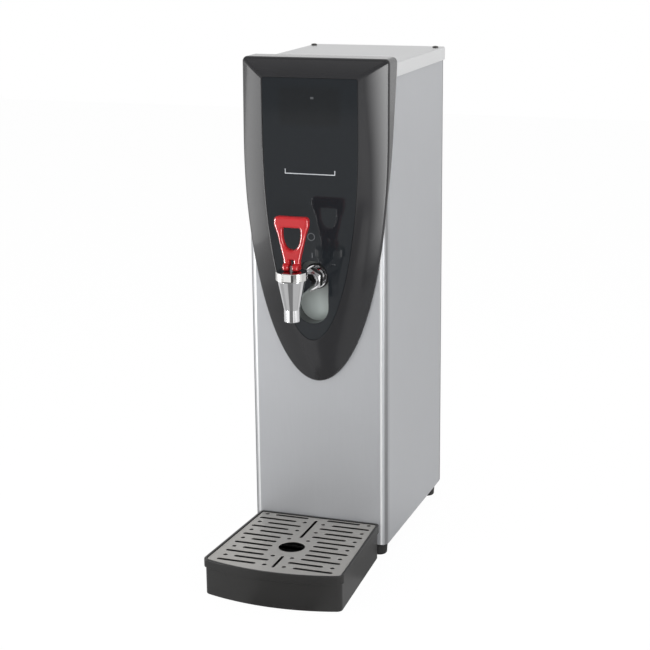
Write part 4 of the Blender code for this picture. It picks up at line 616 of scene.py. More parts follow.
class Surface:
    """One piece's mesh, put together from patches given as whole arrays of points."""

    def __init__(self) -> None:
        self.points: list[np.ndarray] = []
        self.faces: list[list[int]] = []
        self.count = 0

    def _add(self, points: np.ndarray) -> int:
        """Store points and return the index of their first."""
        first = self.count
        self.points.append(points)
        self.count += len(points)
        return first

    def grid(self, points: np.ndarray, close_u: bool = False, close_v: bool = False) -> "Surface":
        """Quads over a grid of points, closed along either of its directions on request.

        Args:
            points: Array of rows, columns and coordinates.
            close_u: Join the last row to the first.
            close_v: Join the last column to the first.

        Returns:
            The surface itself.
        """
        rows, columns = points.shape[:2]
        first = self._add(points.reshape(-1, 3))
        number = np.arange(rows * columns).reshape(rows, columns) + first
        if close_u:
            number = np.vstack([number, number[:1]])
        if close_v:
            number = np.column_stack([number, number[:, :1]])
        corners = (number[:-1, :-1], number[:-1, 1:], number[1:, 1:], number[1:, :-1])
        self.faces += np.stack(corners, axis=-1).reshape(-1, 4).tolist()
        return self

    def triangles(self, points: np.ndarray, faces: np.ndarray) -> "Surface":
        """Triangles over scattered points."""
        first = self._add(points)
        self.faces += (faces + first).tolist()
        return self

    def polygon(self, ring: np.ndarray) -> "Surface":
        """One flat face inside a ring of points."""
        first = self._add(ring)
        self.faces.append(list(range(first, first + len(ring))))
        return self

    def turned(
        self, profile: np.ndarray, centre: Triple, axis: str = "z", sides: int = 72
    ) -> "Surface":
        """The surface that a profile of (radius, height) sweeps in a full turn.

        Args:
            profile: Radii and heights along the outside, closed on itself or ending on the axis.
            centre: A point on the axis, from which heights count.
            axis: "z" for upright, "y" for an axis towards the rear, "x" for one across.
            sides: Number of stretches round the turn.

        Returns:
            The surface itself.
        """
        turn = np.linspace(0, 2 * np.pi, sides, endpoint=False)
        radius, height = profile[:, 0][:, None], profile[:, 1][:, None]
        first, second = radius * np.cos(turn), radius * np.sin(turn)
        along = np.broadcast_to(height, first.shape)
        parts = [first, second]
        parts.insert("xyz".index(axis), along)
        return self.grid(np.stack(parts, axis=-1) + np.array(centre), close_v=True)

    def loft(self, rings: Sequence[np.ndarray], caps: bool = True) -> "Surface":
        """Skin rings of points in their order, with a flat face in the first and last.

        Args:
            rings: Closed rings with the same number of points.
            caps: Whether the first and last ring are filled.

        Returns:
            The surface itself.
        """
        rings = np.array(rings)
        self.grid(rings, close_v=True)
        if caps:
            self.polygon(rings[0])
            self.polygon(rings[-1])
        return self

    def object(self, name: str, sharp: float = 40.0) -> bpy.types.Object:
        """Weld the patches, turn all faces outwards and make the piece's object.

        Args:
            name: Name of the object.
            sharp: Angle in degrees above which an edge stays sharp.

        Returns:
            The linked object, at the origin.
        """
        points = np.vstack(self.points) + np.array((0, BODY_FRONT, 0))
        _, kept, number = np.unique(
            np.round(points, WELD_DIGITS), axis=0, return_index=True, return_inverse=True
        )
        number = number.reshape(-1)
        faces = []
        for face in self.faces:
            joined = [int(number[i]) for i in face]
            joined = [point for k, point in enumerate(joined) if point != joined[k - 1]]
            if len(joined) > 2 and len(set(joined)) == len(joined):
                faces.append(joined)
        mesh = bpy.data.meshes.new(name)
        mesh.from_pydata(points[kept].tolist(), [], faces)
        work = bmesh.new()
        work.from_mesh(mesh)
        bmesh.ops.recalc_face_normals(work, faces=work.faces)
        work.to_mesh(mesh)
        work.free()
        mesh.shade_smooth()
        mesh.set_sharp_from_angle(angle=math.radians(sharp))
        obj = bpy.data.objects.new(name, mesh)
        bpy.context.scene.collection.objects.link(obj)
        weighted = obj.modifiers.new("even shading", "WEIGHTED_NORMAL")
        weighted.keep_sharp = True
        return obj


class Facing(enum.Enum):
    """The plane that a plate's outline lies in."""

    UPRIGHT = "x and z, with its depth along y"
    LAID = "x and y, with its depth along z"

    def points(self, plane: np.ndarray, depth: np.ndarray) -> np.ndarray:
        """Outline points and their depths as points in space."""
        depth = np.broadcast_to(depth, len(plane))
        if self is Facing.UPRIGHT:
            return np.column_stack([plane[:, 0], depth, plane[:, 1]])
        return np.column_stack([plane[:, 0], plane[:, 1], depth])


Depth = Callable[[np.ndarray], np.ndarray]


@dataclass(frozen=True)
class Plate:
    """A plate between two depth functions, with holes and rounded edges on both faces.

    Each edge is a quarter circle of the given radius: the outline moves inwards by
    radius x (1 - cos t) while the depth moves by radius x (1 - sin t).
    """

    outline: np.ndarray
    holes: tuple[np.ndarray, ...]
    near: Depth
    far: Depth
    radius: float
    facing: Facing = Facing.UPRIGHT
    step: float = 0.004
    steps: int = 4
    support: float = 0.0003

    def add(self, surface: Surface) -> Surface:
        """Add both faces, their rounded edges and the walls between them.

        Args:
            surface: The surface to add to.

        Returns:
            The same surface.
        """
        walls = [spaced(self.outline, self.step / 2)]
        walls += [spaced(hole, self.step / 2)[::-1] for hole in self.holes]
        flat = self.radius + self.support
        points, triangles = filled([offset(loop, flat) for loop in walls], self.step)
        for face in (self.near, self.far):
            surface.triangles(self.facing.points(points, face(points)), triangles)
        turn = angles(90, 0, self.steps)
        inwards = [flat, *(self.radius * (1 - np.cos(turn)))]
        lifts = [0.0, *(self.radius * (1 - np.sin(turn)))]
        for loop in walls:
            rings = []
            for face, way in ((self.near, 1), (self.far, -1)):
                edge = []
                for inward, lift in zip(inwards, lifts):
                    moved = offset(loop, inward)
                    edge.append(self.facing.points(moved, face(moved) + way * lift))
                rings += edge[::way]
            surface.grid(np.array(rings), close_v=True)
        return surface


def level(value: float) -> Depth:
    """A depth function that is the same everywhere."""
    return lambda points: np.full(len(points), value)


@dataclass
class Shop:
    """Makes each material once and turns surfaces into dressed pieces."""

    finishes: dict[str, Finish]

    def __post_init__(self) -> None:
        """Make every finish's material."""
        self.made = {slot: finish.material() for slot, finish in self.finishes.items()}

    def piece(
        self, surface: Surface, name: str, finish: str, body: str, *nodes: str,
        slot: str = "", sharp: float = 40.0,
    ) -> bpy.types.Object:
        """Make one piece, give it its finish, and let it ride a body in place of CAD nodes.

        Args:
            surface: The piece's surface.
            name: The piece's name.
            finish: Key of its finish.
            body: The CAD body that carries it.
            *nodes: CAD nodes that it stands for.
            slot: The record's slot, where it differs from the finish's key; not used.
            sharp: Angle in degrees above which an edge stays sharp.

        Returns:
            The finished object.
        """
        obj = surface.object(name, sharp)
        obj.data.materials.append(self.made[finish])
        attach(obj, body)
        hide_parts(*nodes)
        LOG.info("%s: %d faces on %s", name, len(obj.data.polygons), body)
        return obj

    def repaint(self, finish: str, *nodes: str) -> None:
        """Give CAD nodes that stay in view a finish of their own.

        Args:
            finish: Key of the finish.
            *nodes: Names of the nodes.
        """
        for name in nodes:
            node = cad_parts[name]
            node.data.materials.clear()
            node.data.materials.append(self.made[finish])
            LOG.info("%s keeps its solid, finished in %s", name, finish)


@dataclass(frozen=True)
class Cabinet:
    """Folded body, its lid and its rubber feet."""

    width: float = 0.172
    depth: float = 0.244
    corner: float = 0.0086
    sheet: float = 0.0012
    edge: float = 0.0003
    edge_cut: float = 0.3
    floor: float = 0.0163
    top: float = 0.5975
    rear_return: float = 0.010
    return_gap: float = 0.0015
    cover_top: float = 0.599
    cover_half: float = 0.0881
    cover_rear: float = 0.246
    cover_front: float = 0.003
    cover_flange: float = 0.0163
    cover_flange_front: float = 0.031
    cover_bend: float = 0.0024
    tongue_half: float = 0.0855
    screw_radius: float = 0.0038
    screw_height: float = 0.0021
    screw_gap: float = 0.0003
    screw_drive: tuple[Pair, ...] = ((0, 0.35), (0.14, 0.35), (0.26, 0.9))
    screw_dome: Pair = (0.45, 0.55)
    screw_rim: tuple[Pair, ...] = ((1, 0.1), (0.96, 0), (0, 0))
    screw_x: float = 0.081
    screw_y: float = 0.224
    foot_radius: float = 0.0112
    foot_taper: float = 0.0016
    foot_rounding: float = 0.0025
    foot_height: float = 0.016
    foot_crown: float = 0.0006
    foot_groove: float = 0.0035
    foot_lips: Pair = (0.0002, 0.0009)
    foot_dish: float = 0.0007
    foot_dish_shares: Pair = (0.42, 0.40)
    foot_x: float = 0.072
    foot_rows: Pair = (0.015, 0.228)

    def build(self, shop: Shop) -> None:
        """Add every piece of the cabinet.

        Args:
            shop: Makes the pieces.
        """
        shop.piece(self.wrap(), "wrap_dressed", "stainless", "cabinet", "body_wrap")
        # The lid takes a paler copy of the stainless, painted lighter for the light on its top.
        shop.piece(
            self.cover(), "cover_dressed", "cover_stainless_painted_paler", "cabinet", "top_cover",
            slot="stainless",
        )
        for side, way in (("left", -1), ("right", 1)):
            node = f"cover_screw_{side}"
            screw = self.screw(way * self.screw_x)
            shop.piece(screw, f"{node}_dressed", "dark_screw", "cabinet", node)
            for row, y in zip(("front", "rear"), self.foot_rows):
                node = f"foot_{row}_{side}"
                foot = self.foot(way * self.foot_x, y)
                shop.piece(foot, f"{node}_dressed", "rubber", "cabinet", node)

    @staticmethod
    def inwards(path: np.ndarray, distance: float) -> np.ndarray:
        """An open path moved to its left by mitred corners.

        Args:
            path: Points from above.
            distance: How far it moves.

        Returns:
            The moved path, point for point.
        """
        ahead = np.diff(path, axis=0)
        ahead /= np.linalg.norm(ahead, axis=1)[:, None]
        before, after = np.vstack([ahead[:1], ahead]), np.vstack([ahead, ahead[-1:]])
        left = np.column_stack([-(before + after)[:, 1], (before + after)[:, 0]])
        return path + left * (distance / (1 + np.sum(before * after, axis=1)))[:, None]

    def strip(self, path: np.ndarray, section: np.ndarray) -> Surface:
        """Sweep a closed section of (inward distance, height) along an open path in plan.

        Args:
            path: Points from above.
            section: The section's points.

        Returns:
            The swept surface, with its ends closed.
        """
        rings = np.array([
            Facing.LAID.points(self.inwards(path, distance), height) for distance, height in section
        ])
        return Surface().grid(rings, close_u=True).polygon(rings[:, 0]).polygon(rings[:, -1])

    @staticmethod
    def mirrored(path: np.ndarray) -> np.ndarray:
        """The same path on the other side, in the other order."""
        return path[::-1] * np.array((-1, 1))

    def wrap(self) -> Surface:
        """Front and sides with rounded corners and a return at the rear, swept upright."""
        half, bend = self.width / 2, self.corner / 3
        rear = self.depth - self.return_gap
        right = np.vstack([
            arc((half - self.corner, self.corner), self.corner, -90, 0, 20),
            np.column_stack([np.full(9, half), np.linspace(self.corner, rear - bend, 11)[1:-1]]),
            arc((half - bend, rear - bend), bend, 0, 90, 8),
            [(half - self.rear_return, rear)],
        ])
        e, t, cut = self.edge, self.sheet, self.edge * self.edge_cut
        levels = np.linspace(self.floor + 2 * e, self.top - 2 * e, 13)
        rim = np.array([(cut, cut), (e, 0), (t - e, 0), (t - cut, cut)])
        section = np.vstack([
            [(0, z) for z in levels], rim * (1, -1) + (0, self.top),
            [(t, z) for z in levels[::-1]], rim[::-1] + (0, self.floor),
        ])
        return self.strip(np.vstack([self.mirrored(right), right]), section)

    def cover(self) -> Surface:
        """Side and rear flanges bent down from a plate whose front tongue runs under the fascia."""
        half, rear, bend = self.cover_half, self.cover_rear, self.cover_bend
        front, tongue_half = self.cover_flange_front, self.tongue_half
        right = np.vstack([
            np.column_stack([np.full(8, half), np.linspace(front, rear - bend, 9)[:-1]]),
            arc((half - bend, rear - bend), bend - 1e-6, 0, 90, 8),
        ])
        path = np.vstack([right, self.mirrored(right)])
        top, low, t, e = self.cover_top, self.cover_top - self.cover_flange, self.sheet, self.edge
        cut, centre = e * self.edge_cut, (bend, top - bend)
        surface = self.strip(path, np.vstack([
            arc(centre, bend, 180, 92, 8), [(bend, top), (bend, top - t)],
            arc(centre, bend - t, 92, 180, 4),
            [(t, low + 2 * e), (t - cut, low + cut), (t - e, low)],
            [(e, low), (cut, low + cut), (0, low + 2 * e)],
        ]))
        rim = self.inwards(path, bend)
        right_tongue = np.array([(tongue_half, self.cover_front), (tongue_half, front)])
        tongue = np.vstack([self.mirrored(right_tongue), right_tongue])
        outline, open_edge = np.vstack([rim, tongue]), np.vstack([rim[-1:], tongue, rim[:1]])
        for height in (top, top - t):
            surface.polygon(Facing.LAID.points(outline, height))
        return surface.grid(np.array([Facing.LAID.points(open_edge, z) for z in (top, top - t)]))

    def screw(self, x: float) -> Surface:
        """A low domed head round a sunk drive, in shares of the head's radius and height.

        Args:
            x: Where it sits across the cover.

        Returns:
            The turned surface.
        """
        turns = angles(20, 90, 9)
        start, rise = self.screw_dome
        dome = np.column_stack([np.sin(turns), start + rise * np.cos(turns)])
        profile = np.vstack([self.screw_drive, dome, self.screw_rim])
        profile *= (self.screw_radius, self.screw_height)
        base = self.cover_top + self.screw_gap
        return Surface().turned(profile, (x, self.screw_y, base), sides=40)

    def foot(self, x: float, y: float) -> Surface:
        """A moulded bumper: flat crown, slight taper and a rounded tread.

        Args:
            x: Its place across.
            y: Its place in depth.

        Returns:
            The turned surface.
        """
        r, top, crown, toe = self.foot_radius, self.foot_height, self.foot_crown, self.foot_rounding
        tread, groove, dish = r - self.foot_taper, self.foot_groove, self.foot_dish
        lip, under = (r - inward for inward in self.foot_lips)
        rim, floor = (tread * share for share in self.foot_dish_shares)
        profile = np.vstack([
            [(0, top), (r - crown, top)],
            arc((r - crown, top - crown), crown, 80, 0, 4),
            [(lip, top - groove), (under, top - groove - crown)],
            arc((tread - toe, toe), toe, 0, -90, 8),
            [(rim, 0), (floor, dish), (0, dish)],
        ])
        return Surface().turned(profile, (x, y, 0), sides=64)


def shield(
    width: float, top: float, spring: float, drop: float, corner: float, steps: int = 96
) -> np.ndarray:
    """The fascia's outline, anticlockwise from its right shoulder, over half an ellipse.

    Args:
        width: Width of the straight sides.
        top: Height of the top.
        spring: Height at which the sides run into the half ellipse.
        drop: Depth of the half ellipse below that.
        corner: Radius of the top corners.
        steps: Stretches round the half ellipse.

    Returns:
        Points across and up.
    """
    half = width / 2
    levels = spring + (top - corner - spring) * np.linspace(1, 0, 13)[1:-1]
    turns = angles(180, 360, steps)
    return np.vstack([
        arc((half - corner, top - corner), corner, 0, 90, 10),
        arc((corner - half, top - corner), corner, 90, 180, 10),
        np.column_stack([np.full(len(levels), -half), levels]),
        np.column_stack([half * np.cos(turns), spring + drop * np.sin(turns)]),
        np.column_stack([np.full(len(levels), half), levels[::-1]]),
    ])


@dataclass(frozen=True)
class Fascia:
    """The moulded shield hood, its glossy overlay and the tap's well."""

    width: float = 0.180
    top: float = 0.606
    spring: float = 0.514
    drop: float = 0.2943
    corner: float = 0.006
    wall: float = 0.0025
    edge_radius: float = 0.005
    edge_turn: float = math.radians(60)
    rim_land: float = 0.0005
    gap: float = 0.0003
    cheek_reach: float = 0.030
    cheek_foot: float = 0.437
    cheek_full: float = 0.595
    cheek_edge_share: float = 0.13
    panel_width: float = 0.1186
    panel_top: float = 0.5857
    panel_drop: float = 0.2402
    panel_corner: float = 0.004
    panel_face: float = -0.0191
    recess: float = 0.0015
    overlay_inset: float = 0.001
    overlay_thickness: float = 0.0012
    overlay_edge: float = 0.00035
    crease: float = 0.0005
    crease_share: float = 0.3
    crown: float = 0.0012
    bevel_shares: tuple[float, ...] = (0.012, 0.024, *np.linspace(0.1, 0.9, 9), 0.97, 0.985)
    side_shares: tuple[float, ...] = (0.04, 0.3, 0.6, 0.9)
    floor_step: float = 0.006
    overlay_step: float = 0.005
    well_radius: float = 0.0204
    well_top: float = 0.3714
    well_bottom: float = 0.295
    well_wall: float = 0.002
    well_edge: float = 0.0003

    def build(self, shop: Shop) -> None:
        """Add the shield and its overlay."""
        shop.piece(self.hood(), "fascia_dressed", "gloss_black", "cabinet", "fascia", sharp=50)
        shop.piece(self.overlay(), "overlay_dressed", "overlay_black", "cabinet", "panel_overlay")

    def panel(self, inset: float = 0.0) -> np.ndarray:
        """The sunk panel's outline, moved inwards."""
        outline = shield(
            self.panel_width, self.panel_top, self.spring, self.panel_drop, self.panel_corner
        )
        return offset(outline, inset) if inset else outline

    def well(self, grow: float = 0.0) -> np.ndarray:
        """The well's outline, grown by a distance."""
        return obround(self.well_radius + grow, self.well_bottom - grow, self.well_top + grow)

    def hood(self) -> Surface:
        """Rings from the recess over the bevels and the edge to the rear rim, and back inside."""
        outer = shield(self.width, self.top, self.spring, self.drop, self.corner)
        wrap = np.clip((outer[:, 1] - self.cheek_foot) / (self.cheek_full - self.cheek_foot), 0, 1)
        rim = -self.gap + (self.cheek_reach + self.gap) * wrap
        edge = -self.gap - self.rim_land + self.cheek_reach * self.cheek_edge_share * wrap
        face, floor = self.panel_face, self.panel_face + self.recess
        rings: list[np.ndarray] = []

        def ring(outline: np.ndarray, depth: Union[float, np.ndarray]) -> None:
            """Add one ring at its depth or depths."""
            rings.append(Facing.UPRIGHT.points(outline, depth))

        sunk, panel = self.panel(self.overlay_inset), self.panel()
        c, r = self.crease, self.edge_radius
        first = offset(outer, r * (1 - math.cos(self.edge_turn)))
        first_depth = edge - r * math.sin(self.edge_turn)
        ring(sunk, floor)
        ring(sunk, face + c / 2)
        ring(self.panel(self.overlay_inset - c / 3), face)
        ring(panel + (sunk - panel) * self.crease_share, face)
        for share in self.bevel_shares:
            depth = face + (first_depth - face) * share
            ring(panel + (first - panel) * share, depth - self.crown * 4 * share * (1 - share))
        for turn in np.linspace(self.edge_turn, 0, 10):
            ring(offset(outer, r * (1 - math.cos(turn))), edge - r * math.sin(turn))
        for share in self.side_shares:
            ring(outer, edge + (rim - c / 2 - edge) * share)
        for turn in angles(0, 90, 3):
            outline = offset(outer, c / 2 * (1 - math.cos(turn)))
            ring(outline, rim - c / 2 * (1 - math.sin(turn)))
        ring(offset(outer, self.wall), rim)
        inner = r - self.wall
        for turn in np.linspace(0, self.edge_turn, 4):
            ring(offset(outer, r - inner * math.cos(turn)), edge - inner * math.sin(turn))
        ring(self.panel(-c), floor + self.wall)
        return self.tube(Surface().loft(rings, caps=False), sunk)

    def tube(self, surface: Surface, sunk: np.ndarray) -> Surface:
        """Add both faces of the recess's floor, and the well's wall from it to the body.

        Args:
            surface: The hood so far.
            sunk: Outline of the recess.

        Returns:
            The same surface.
        """
        floor, e, front = self.panel_face + self.recess, self.well_edge, -self.gap
        collar, mouth, inner = self.well(self.well_wall), self.well(e), self.panel(-self.crease)
        for loops, depth in (
            ([sunk, mouth[::-1]], floor),
            ([inner, collar[::-1]], floor + self.wall),
        ):
            points, triangles = filled(loops, self.floor_step)
            surface.triangles(Facing.UPRIGHT.points(points, depth), triangles)
        turns = angles(30, 90, 2)
        walls = [(mouth, floor)]
        walls += [(self.well(e * (1 - math.sin(a))), floor + e * (1 - math.cos(a))) for a in turns]
        walls += [(self.well(), depth) for depth in np.linspace(floor + 2 * e, front - 2 * e, 4)]
        walls += [(self.well(), front - e), (mouth, front), (collar, front)]
        walls += [(collar, floor + self.wall)]
        rings = np.array([Facing.UPRIGHT.points(outline, depth) for outline, depth in walls])
        return surface.grid(rings, close_v=True)

    def overlay(self) -> Surface:
        """The flat glossy sheet that fills the recess, with the well's opening through it."""
        faces = level(self.panel_face), level(self.panel_face + self.overlay_thickness)
        outline, edge = self.panel(self.overlay_inset + self.gap), self.overlay_edge
        plate = Plate(outline, (self.well(),), *faces, edge, step=self.overlay_step)
        return plate.add(Surface())


def rounded(
    points: Sequence[Sequence[float]], radii: Sequence[float], closed: bool = True, steps: int = 8
) -> np.ndarray:
    """A polyline with each corner replaced by the arc that touches both of its sides.

    Args:
        points: Corners in order.
        radii: Radius at each corner; nothing keeps it sharp.
        closed: Whether the last corner joins the first; otherwise both ends stay as they are.
        steps: Stretches in each arc.

    Returns:
        The points of the rounded polyline.
    """
    points = np.array(points, float)
    result = []
    for i, (corner, radius) in enumerate(zip(points, radii)):
        if radius == 0 or (not closed and i in (0, len(points) - 1)):
            result.append(corner[None])
            continue
        back, ahead = points[i - 1] - corner, points[(i + 1) % len(points)] - corner
        back, ahead = back / np.linalg.norm(back), ahead / np.linalg.norm(ahead)
        half = math.acos(float(np.clip(back @ ahead, -1, 1))) / 2
        middle = (back + ahead) / np.linalg.norm(back + ahead)
        centre = corner + middle * radius / math.sin(half)
        start = corner + back * radius / math.tan(half) - centre
        end = corner + ahead * radius / math.tan(half) - centre
        sweep = math.atan2(start[0] * end[1] - start[1] * end[0], start @ end)
        turns = np.linspace(0, sweep, steps + 1)[:, None]
        across = np.array((-start[1], start[0]))
        result.append(centre + np.cos(turns) * start + np.sin(turns) * across)
    return np.vstack(result)


def box_corners(low: Pair, high: Pair) -> list[Pair]:
    """The corners of a rectangle, anticlockwise from its lowest."""
    return [low, (high[0], low[1]), high, (low[0], high[1])]


@dataclass(frozen=True)
class Tap:
    """Chrome tap: shank, washer, nut, tapered body with its spout, bonnet, stem, spring and pin."""

    reach: float = 0.0856
    height: float = 0.3493
    gap: float = 0.0003
    edge: float = 0.0003
    shank_radius: float = 0.010
    shank_bore: float = 0.005
    shank_front: float = -0.0185
    shank_rear: float = 0.020
    collar_radius: float = 0.014
    collar_rear: float = -0.0021
    collar_front: float = -0.0051
    washer_radius: float = 0.0155
    washer_thickness: float = 0.0015
    washer_edge: float = 0.0004
    nut_radius: float = 0.0143
    nut_front: float = -0.0255
    nut_length: float = 0.012
    nut_chamfer: float = 0.0022
    nut_face: float = 0.0008
    nut_slope: float = 1.35
    nut_shoulders: Pair = (1.5, 3.0)
    spout_tip: float = 0.3147
    shoulder: float = 0.3294
    spout_radius: float = 0.0092
    spout_bore: float = 0.0068
    bore_depth: float = 0.018
    body_radii: tuple[float, ...] = (0, 0.0008, 0.006, 0.0009, 0.0005, 0, 0)
    body_top: float = 0.3631
    top_radius: float = 0.016
    arm_root: float = 0.0128
    bonnet_radius: float = 0.0181
    bonnet_top: float = 0.3735
    bonnet_edge: float = 0.001
    bonnet_clear: float = 0.0004
    bonnet_step: float = 0.003
    notch_width: float = 0.011
    notch_depth: float = 0.0026
    notch_corner: float = 0.0007
    stem_radius: float = 0.0019
    stem_head: float = 0.0024
    stem_dome: float = 0.45
    stem_foot: float = 0.3403
    pin_height: float = 0.378
    pin_radius: float = 0.001
    pin_half: float = 0.0087
    spring_radius: float = 0.0052
    spring_ends: Pair = (0.34305, 0.35765)
    spring_turns: int = 5
    turn_steps: int = 24
    wire: float = 0.00045
    lift: float = 0.0018385

    def build(self, shop: Shop) -> None:
        """Add the tap's pieces, each on its body; the spring gets a mesh of its own.

        Args:
            shop: Makes the pieces.
        """
        shop.piece(self.shank(), "shank_dressed", "chrome", "cabinet", "faucet_shank")
        shop.piece(self.washer(), "washer_dressed", "rubber", "cabinet", "shank_washer")
        shop.piece(
            self.nut(), "coupling_nut_dressed", "chrome", "cabinet", "coupling_nut", sharp=20
        )
        shop.piece(self.body(), "tap_body_dressed", "chrome", "cabinet", "faucet_body")
        shop.piece(
            self.bonnet(), "bonnet_dressed", "bonnet_chrome", "cabinet", "faucet_bonnet",
            slot="chrome",
        )
        shop.piece(self.stem(), "stem_dressed", "zinc_steel", "valve_lift", "valve_stem")
        shop.piece(self.pin(), "pin_dressed", "zinc_steel", "lever", "handle_pin")
        spring = shop.piece(
            self.spring(), "spring_dressed", "zinc_steel", "cabinet", "valve_spring"
        )
        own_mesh(spring)

    def on_arm(self, profile: np.ndarray) -> Surface:
        """A closed profile of (radius, depth) turned about the tap's arm."""
        profile = np.vstack([profile, profile[:1]])
        return Surface().turned(profile, (0, 0, self.height), "y")

    def shank(self) -> Surface:
        """The pipe with its collar."""
        bore, pipe, collar, e = self.shank_bore, self.shank_radius, self.collar_radius, self.edge
        corners = [
            (bore, self.shank_front), (pipe, self.shank_front), (pipe, self.collar_front),
            (collar, self.collar_front), (collar, self.collar_rear), (pipe, self.collar_rear),
            (pipe, self.shank_rear), (bore, self.shank_rear),
        ]
        return self.on_arm(rounded(corners, (0, e, 0, e, e, 0, e, 0), steps=3))

    def washer(self) -> Surface:
        """A flat ring between the collar and the body front."""
        low = (self.shank_radius + self.gap, -self.gap - self.washer_thickness)
        corners, e = box_corners(low, (self.washer_radius, -self.gap)), self.washer_edge
        return self.on_arm(rounded(corners, (0, e, e, 0), steps=4))

    def nut(self) -> Surface:
        """A hexagon whose corners are turned down at both ends.

        The radius is the smaller of apothem / cos(angle from the nearest flat's middle) and a cone
        that widens from each end.
        """
        turn = np.linspace(0, 2 * np.pi, 360, endpoint=False)
        sixth = math.pi / 3
        apothem = self.nut_radius * math.cos(sixth / 2)
        flat = apothem / np.cos((turn + sixth / 2) % sixth - sixth / 2)
        deep = np.array([*(np.linspace(0, 1, 10) ** 2), *self.nut_shoulders]) * self.nut_chamfer
        deep = np.concatenate([deep, self.nut_length - deep[::-1]])
        near_end = np.minimum(deep, self.nut_length - deep)
        cone = apothem - self.nut_face + near_end * self.nut_slope
        bore = np.full((1, len(turn)), self.shank_radius + self.gap)
        radius = np.vstack([bore, np.minimum(flat[None], cone[:, None]), bore])
        along = np.concatenate([deep[:1], deep, deep[-1:]])[:, None] + self.nut_front
        along = np.broadcast_to(along, radius.shape)
        up = self.height + radius * np.sin(turn)
        points = np.stack([radius * np.cos(turn), along, up], axis=-1)
        return Surface().grid(points, close_u=True, close_v=True)

    def body(self) -> Surface:
        """A tapering barrel over a straight spout, open below, with the arm reaching back."""
        tip, top, bore_end = self.spout_tip, self.body_top, self.spout_tip + self.bore_depth
        corners = [
            (0, top), (self.top_radius, top), (self.spout_radius, self.shoulder),
            (self.spout_radius, tip), (self.spout_bore, tip), (self.spout_bore, bore_end),
            (0, bore_end),
        ]
        profile = rounded(corners, self.body_radii, closed=False)
        surface = Surface().turned(profile, (0, -self.reach, 0), sides=96)
        rear = self.shank_front - self.gap
        along = np.linspace(0, 1, 25)
        flare = self.shank_radius + (self.arm_root - self.shank_radius) * (1 - along) ** 2
        arm = np.column_stack([flare, -self.reach + along * (rear + self.reach)])
        arm = np.vstack([(0, -self.reach), arm, (0, rear)])
        return surface.turned(arm, (0, 0, self.height), "y")

    def bonnet(self) -> Surface:
        """A round collar with a square notch at its front, bored for the stem."""
        half, depth = self.notch_width / 2, self.bonnet_radius - self.notch_depth
        reach = math.degrees(math.asin(half / self.bonnet_radius))
        ring = arc((0, 0), self.bonnet_radius, -90 + reach, 270 - reach, 96)
        notch = [ring[-1], (-half, -depth), (half, -depth), ring[0]]
        e = self.notch_corner
        notch = rounded(notch, (0, e, e, 0), closed=False, steps=4)[1:-1]
        outline = np.vstack([ring, notch]) + (0, -self.reach)
        bore = circle((0, -self.reach), self.stem_radius + self.bonnet_clear, 32)
        faces = level(self.body_top + self.gap), level(self.bonnet_top)
        edge, step = self.bonnet_edge, self.bonnet_step
        plate = Plate(outline, (bore,), *faces, edge, Facing.LAID, step, steps=6)
        return plate.add(Surface())

    def stem(self) -> Surface:
        """The lifting stem with its domed head."""
        r, top, e = self.stem_radius, self.pin_height + self.stem_head, self.edge
        turns = angles(0, 90, 7)
        rise = self.stem_head * self.stem_dome * (1 - np.cos(turns))
        dome = np.column_stack([r * np.sin(turns), top - rise])
        foot = [(r, self.stem_foot + e), (r - e, self.stem_foot), (0, self.stem_foot)]
        return Surface().turned(np.vstack([dome, foot]), (0, -self.reach, 0), sides=32)

    def pin(self) -> Surface:
        """The cross pin of the lever, with rounded ends."""
        corners = box_corners((0, -self.pin_half), (self.pin_radius, self.pin_half))
        profile = rounded(corners, (0, self.edge, self.edge, 0), False, 3)
        return Surface().turned(profile, (0, -self.reach, self.pin_height), "x", 24)

    def spring(self) -> Surface:
        """A helix, radius (cos t, sin t) rising evenly with t, of round wire square to its path."""
        low, high = self.spring_ends
        turns = angles(0, 360 * self.spring_turns, self.turn_steps * self.spring_turns)
        rise = (high - low) / turns[-1]
        cos, sin, zero = np.cos(turns), np.sin(turns), np.zeros(len(turns))
        out = np.column_stack([cos, sin, zero])
        middle = np.column_stack([zero, zero - self.reach, low + rise * turns])
        path = middle + out * self.spring_radius
        along = np.column_stack([-sin, cos, zero + rise / self.spring_radius])
        along /= np.linalg.norm(along, axis=1)[:, None]
        across = np.cross(out, along)
        round_wire = circle((0, 0), self.wire, 10)
        return Surface().loft([
            centre + np.outer(round_wire[:, 0], side) + np.outer(round_wire[:, 1], over)
            for centre, side, over in zip(path, out, across)
        ])


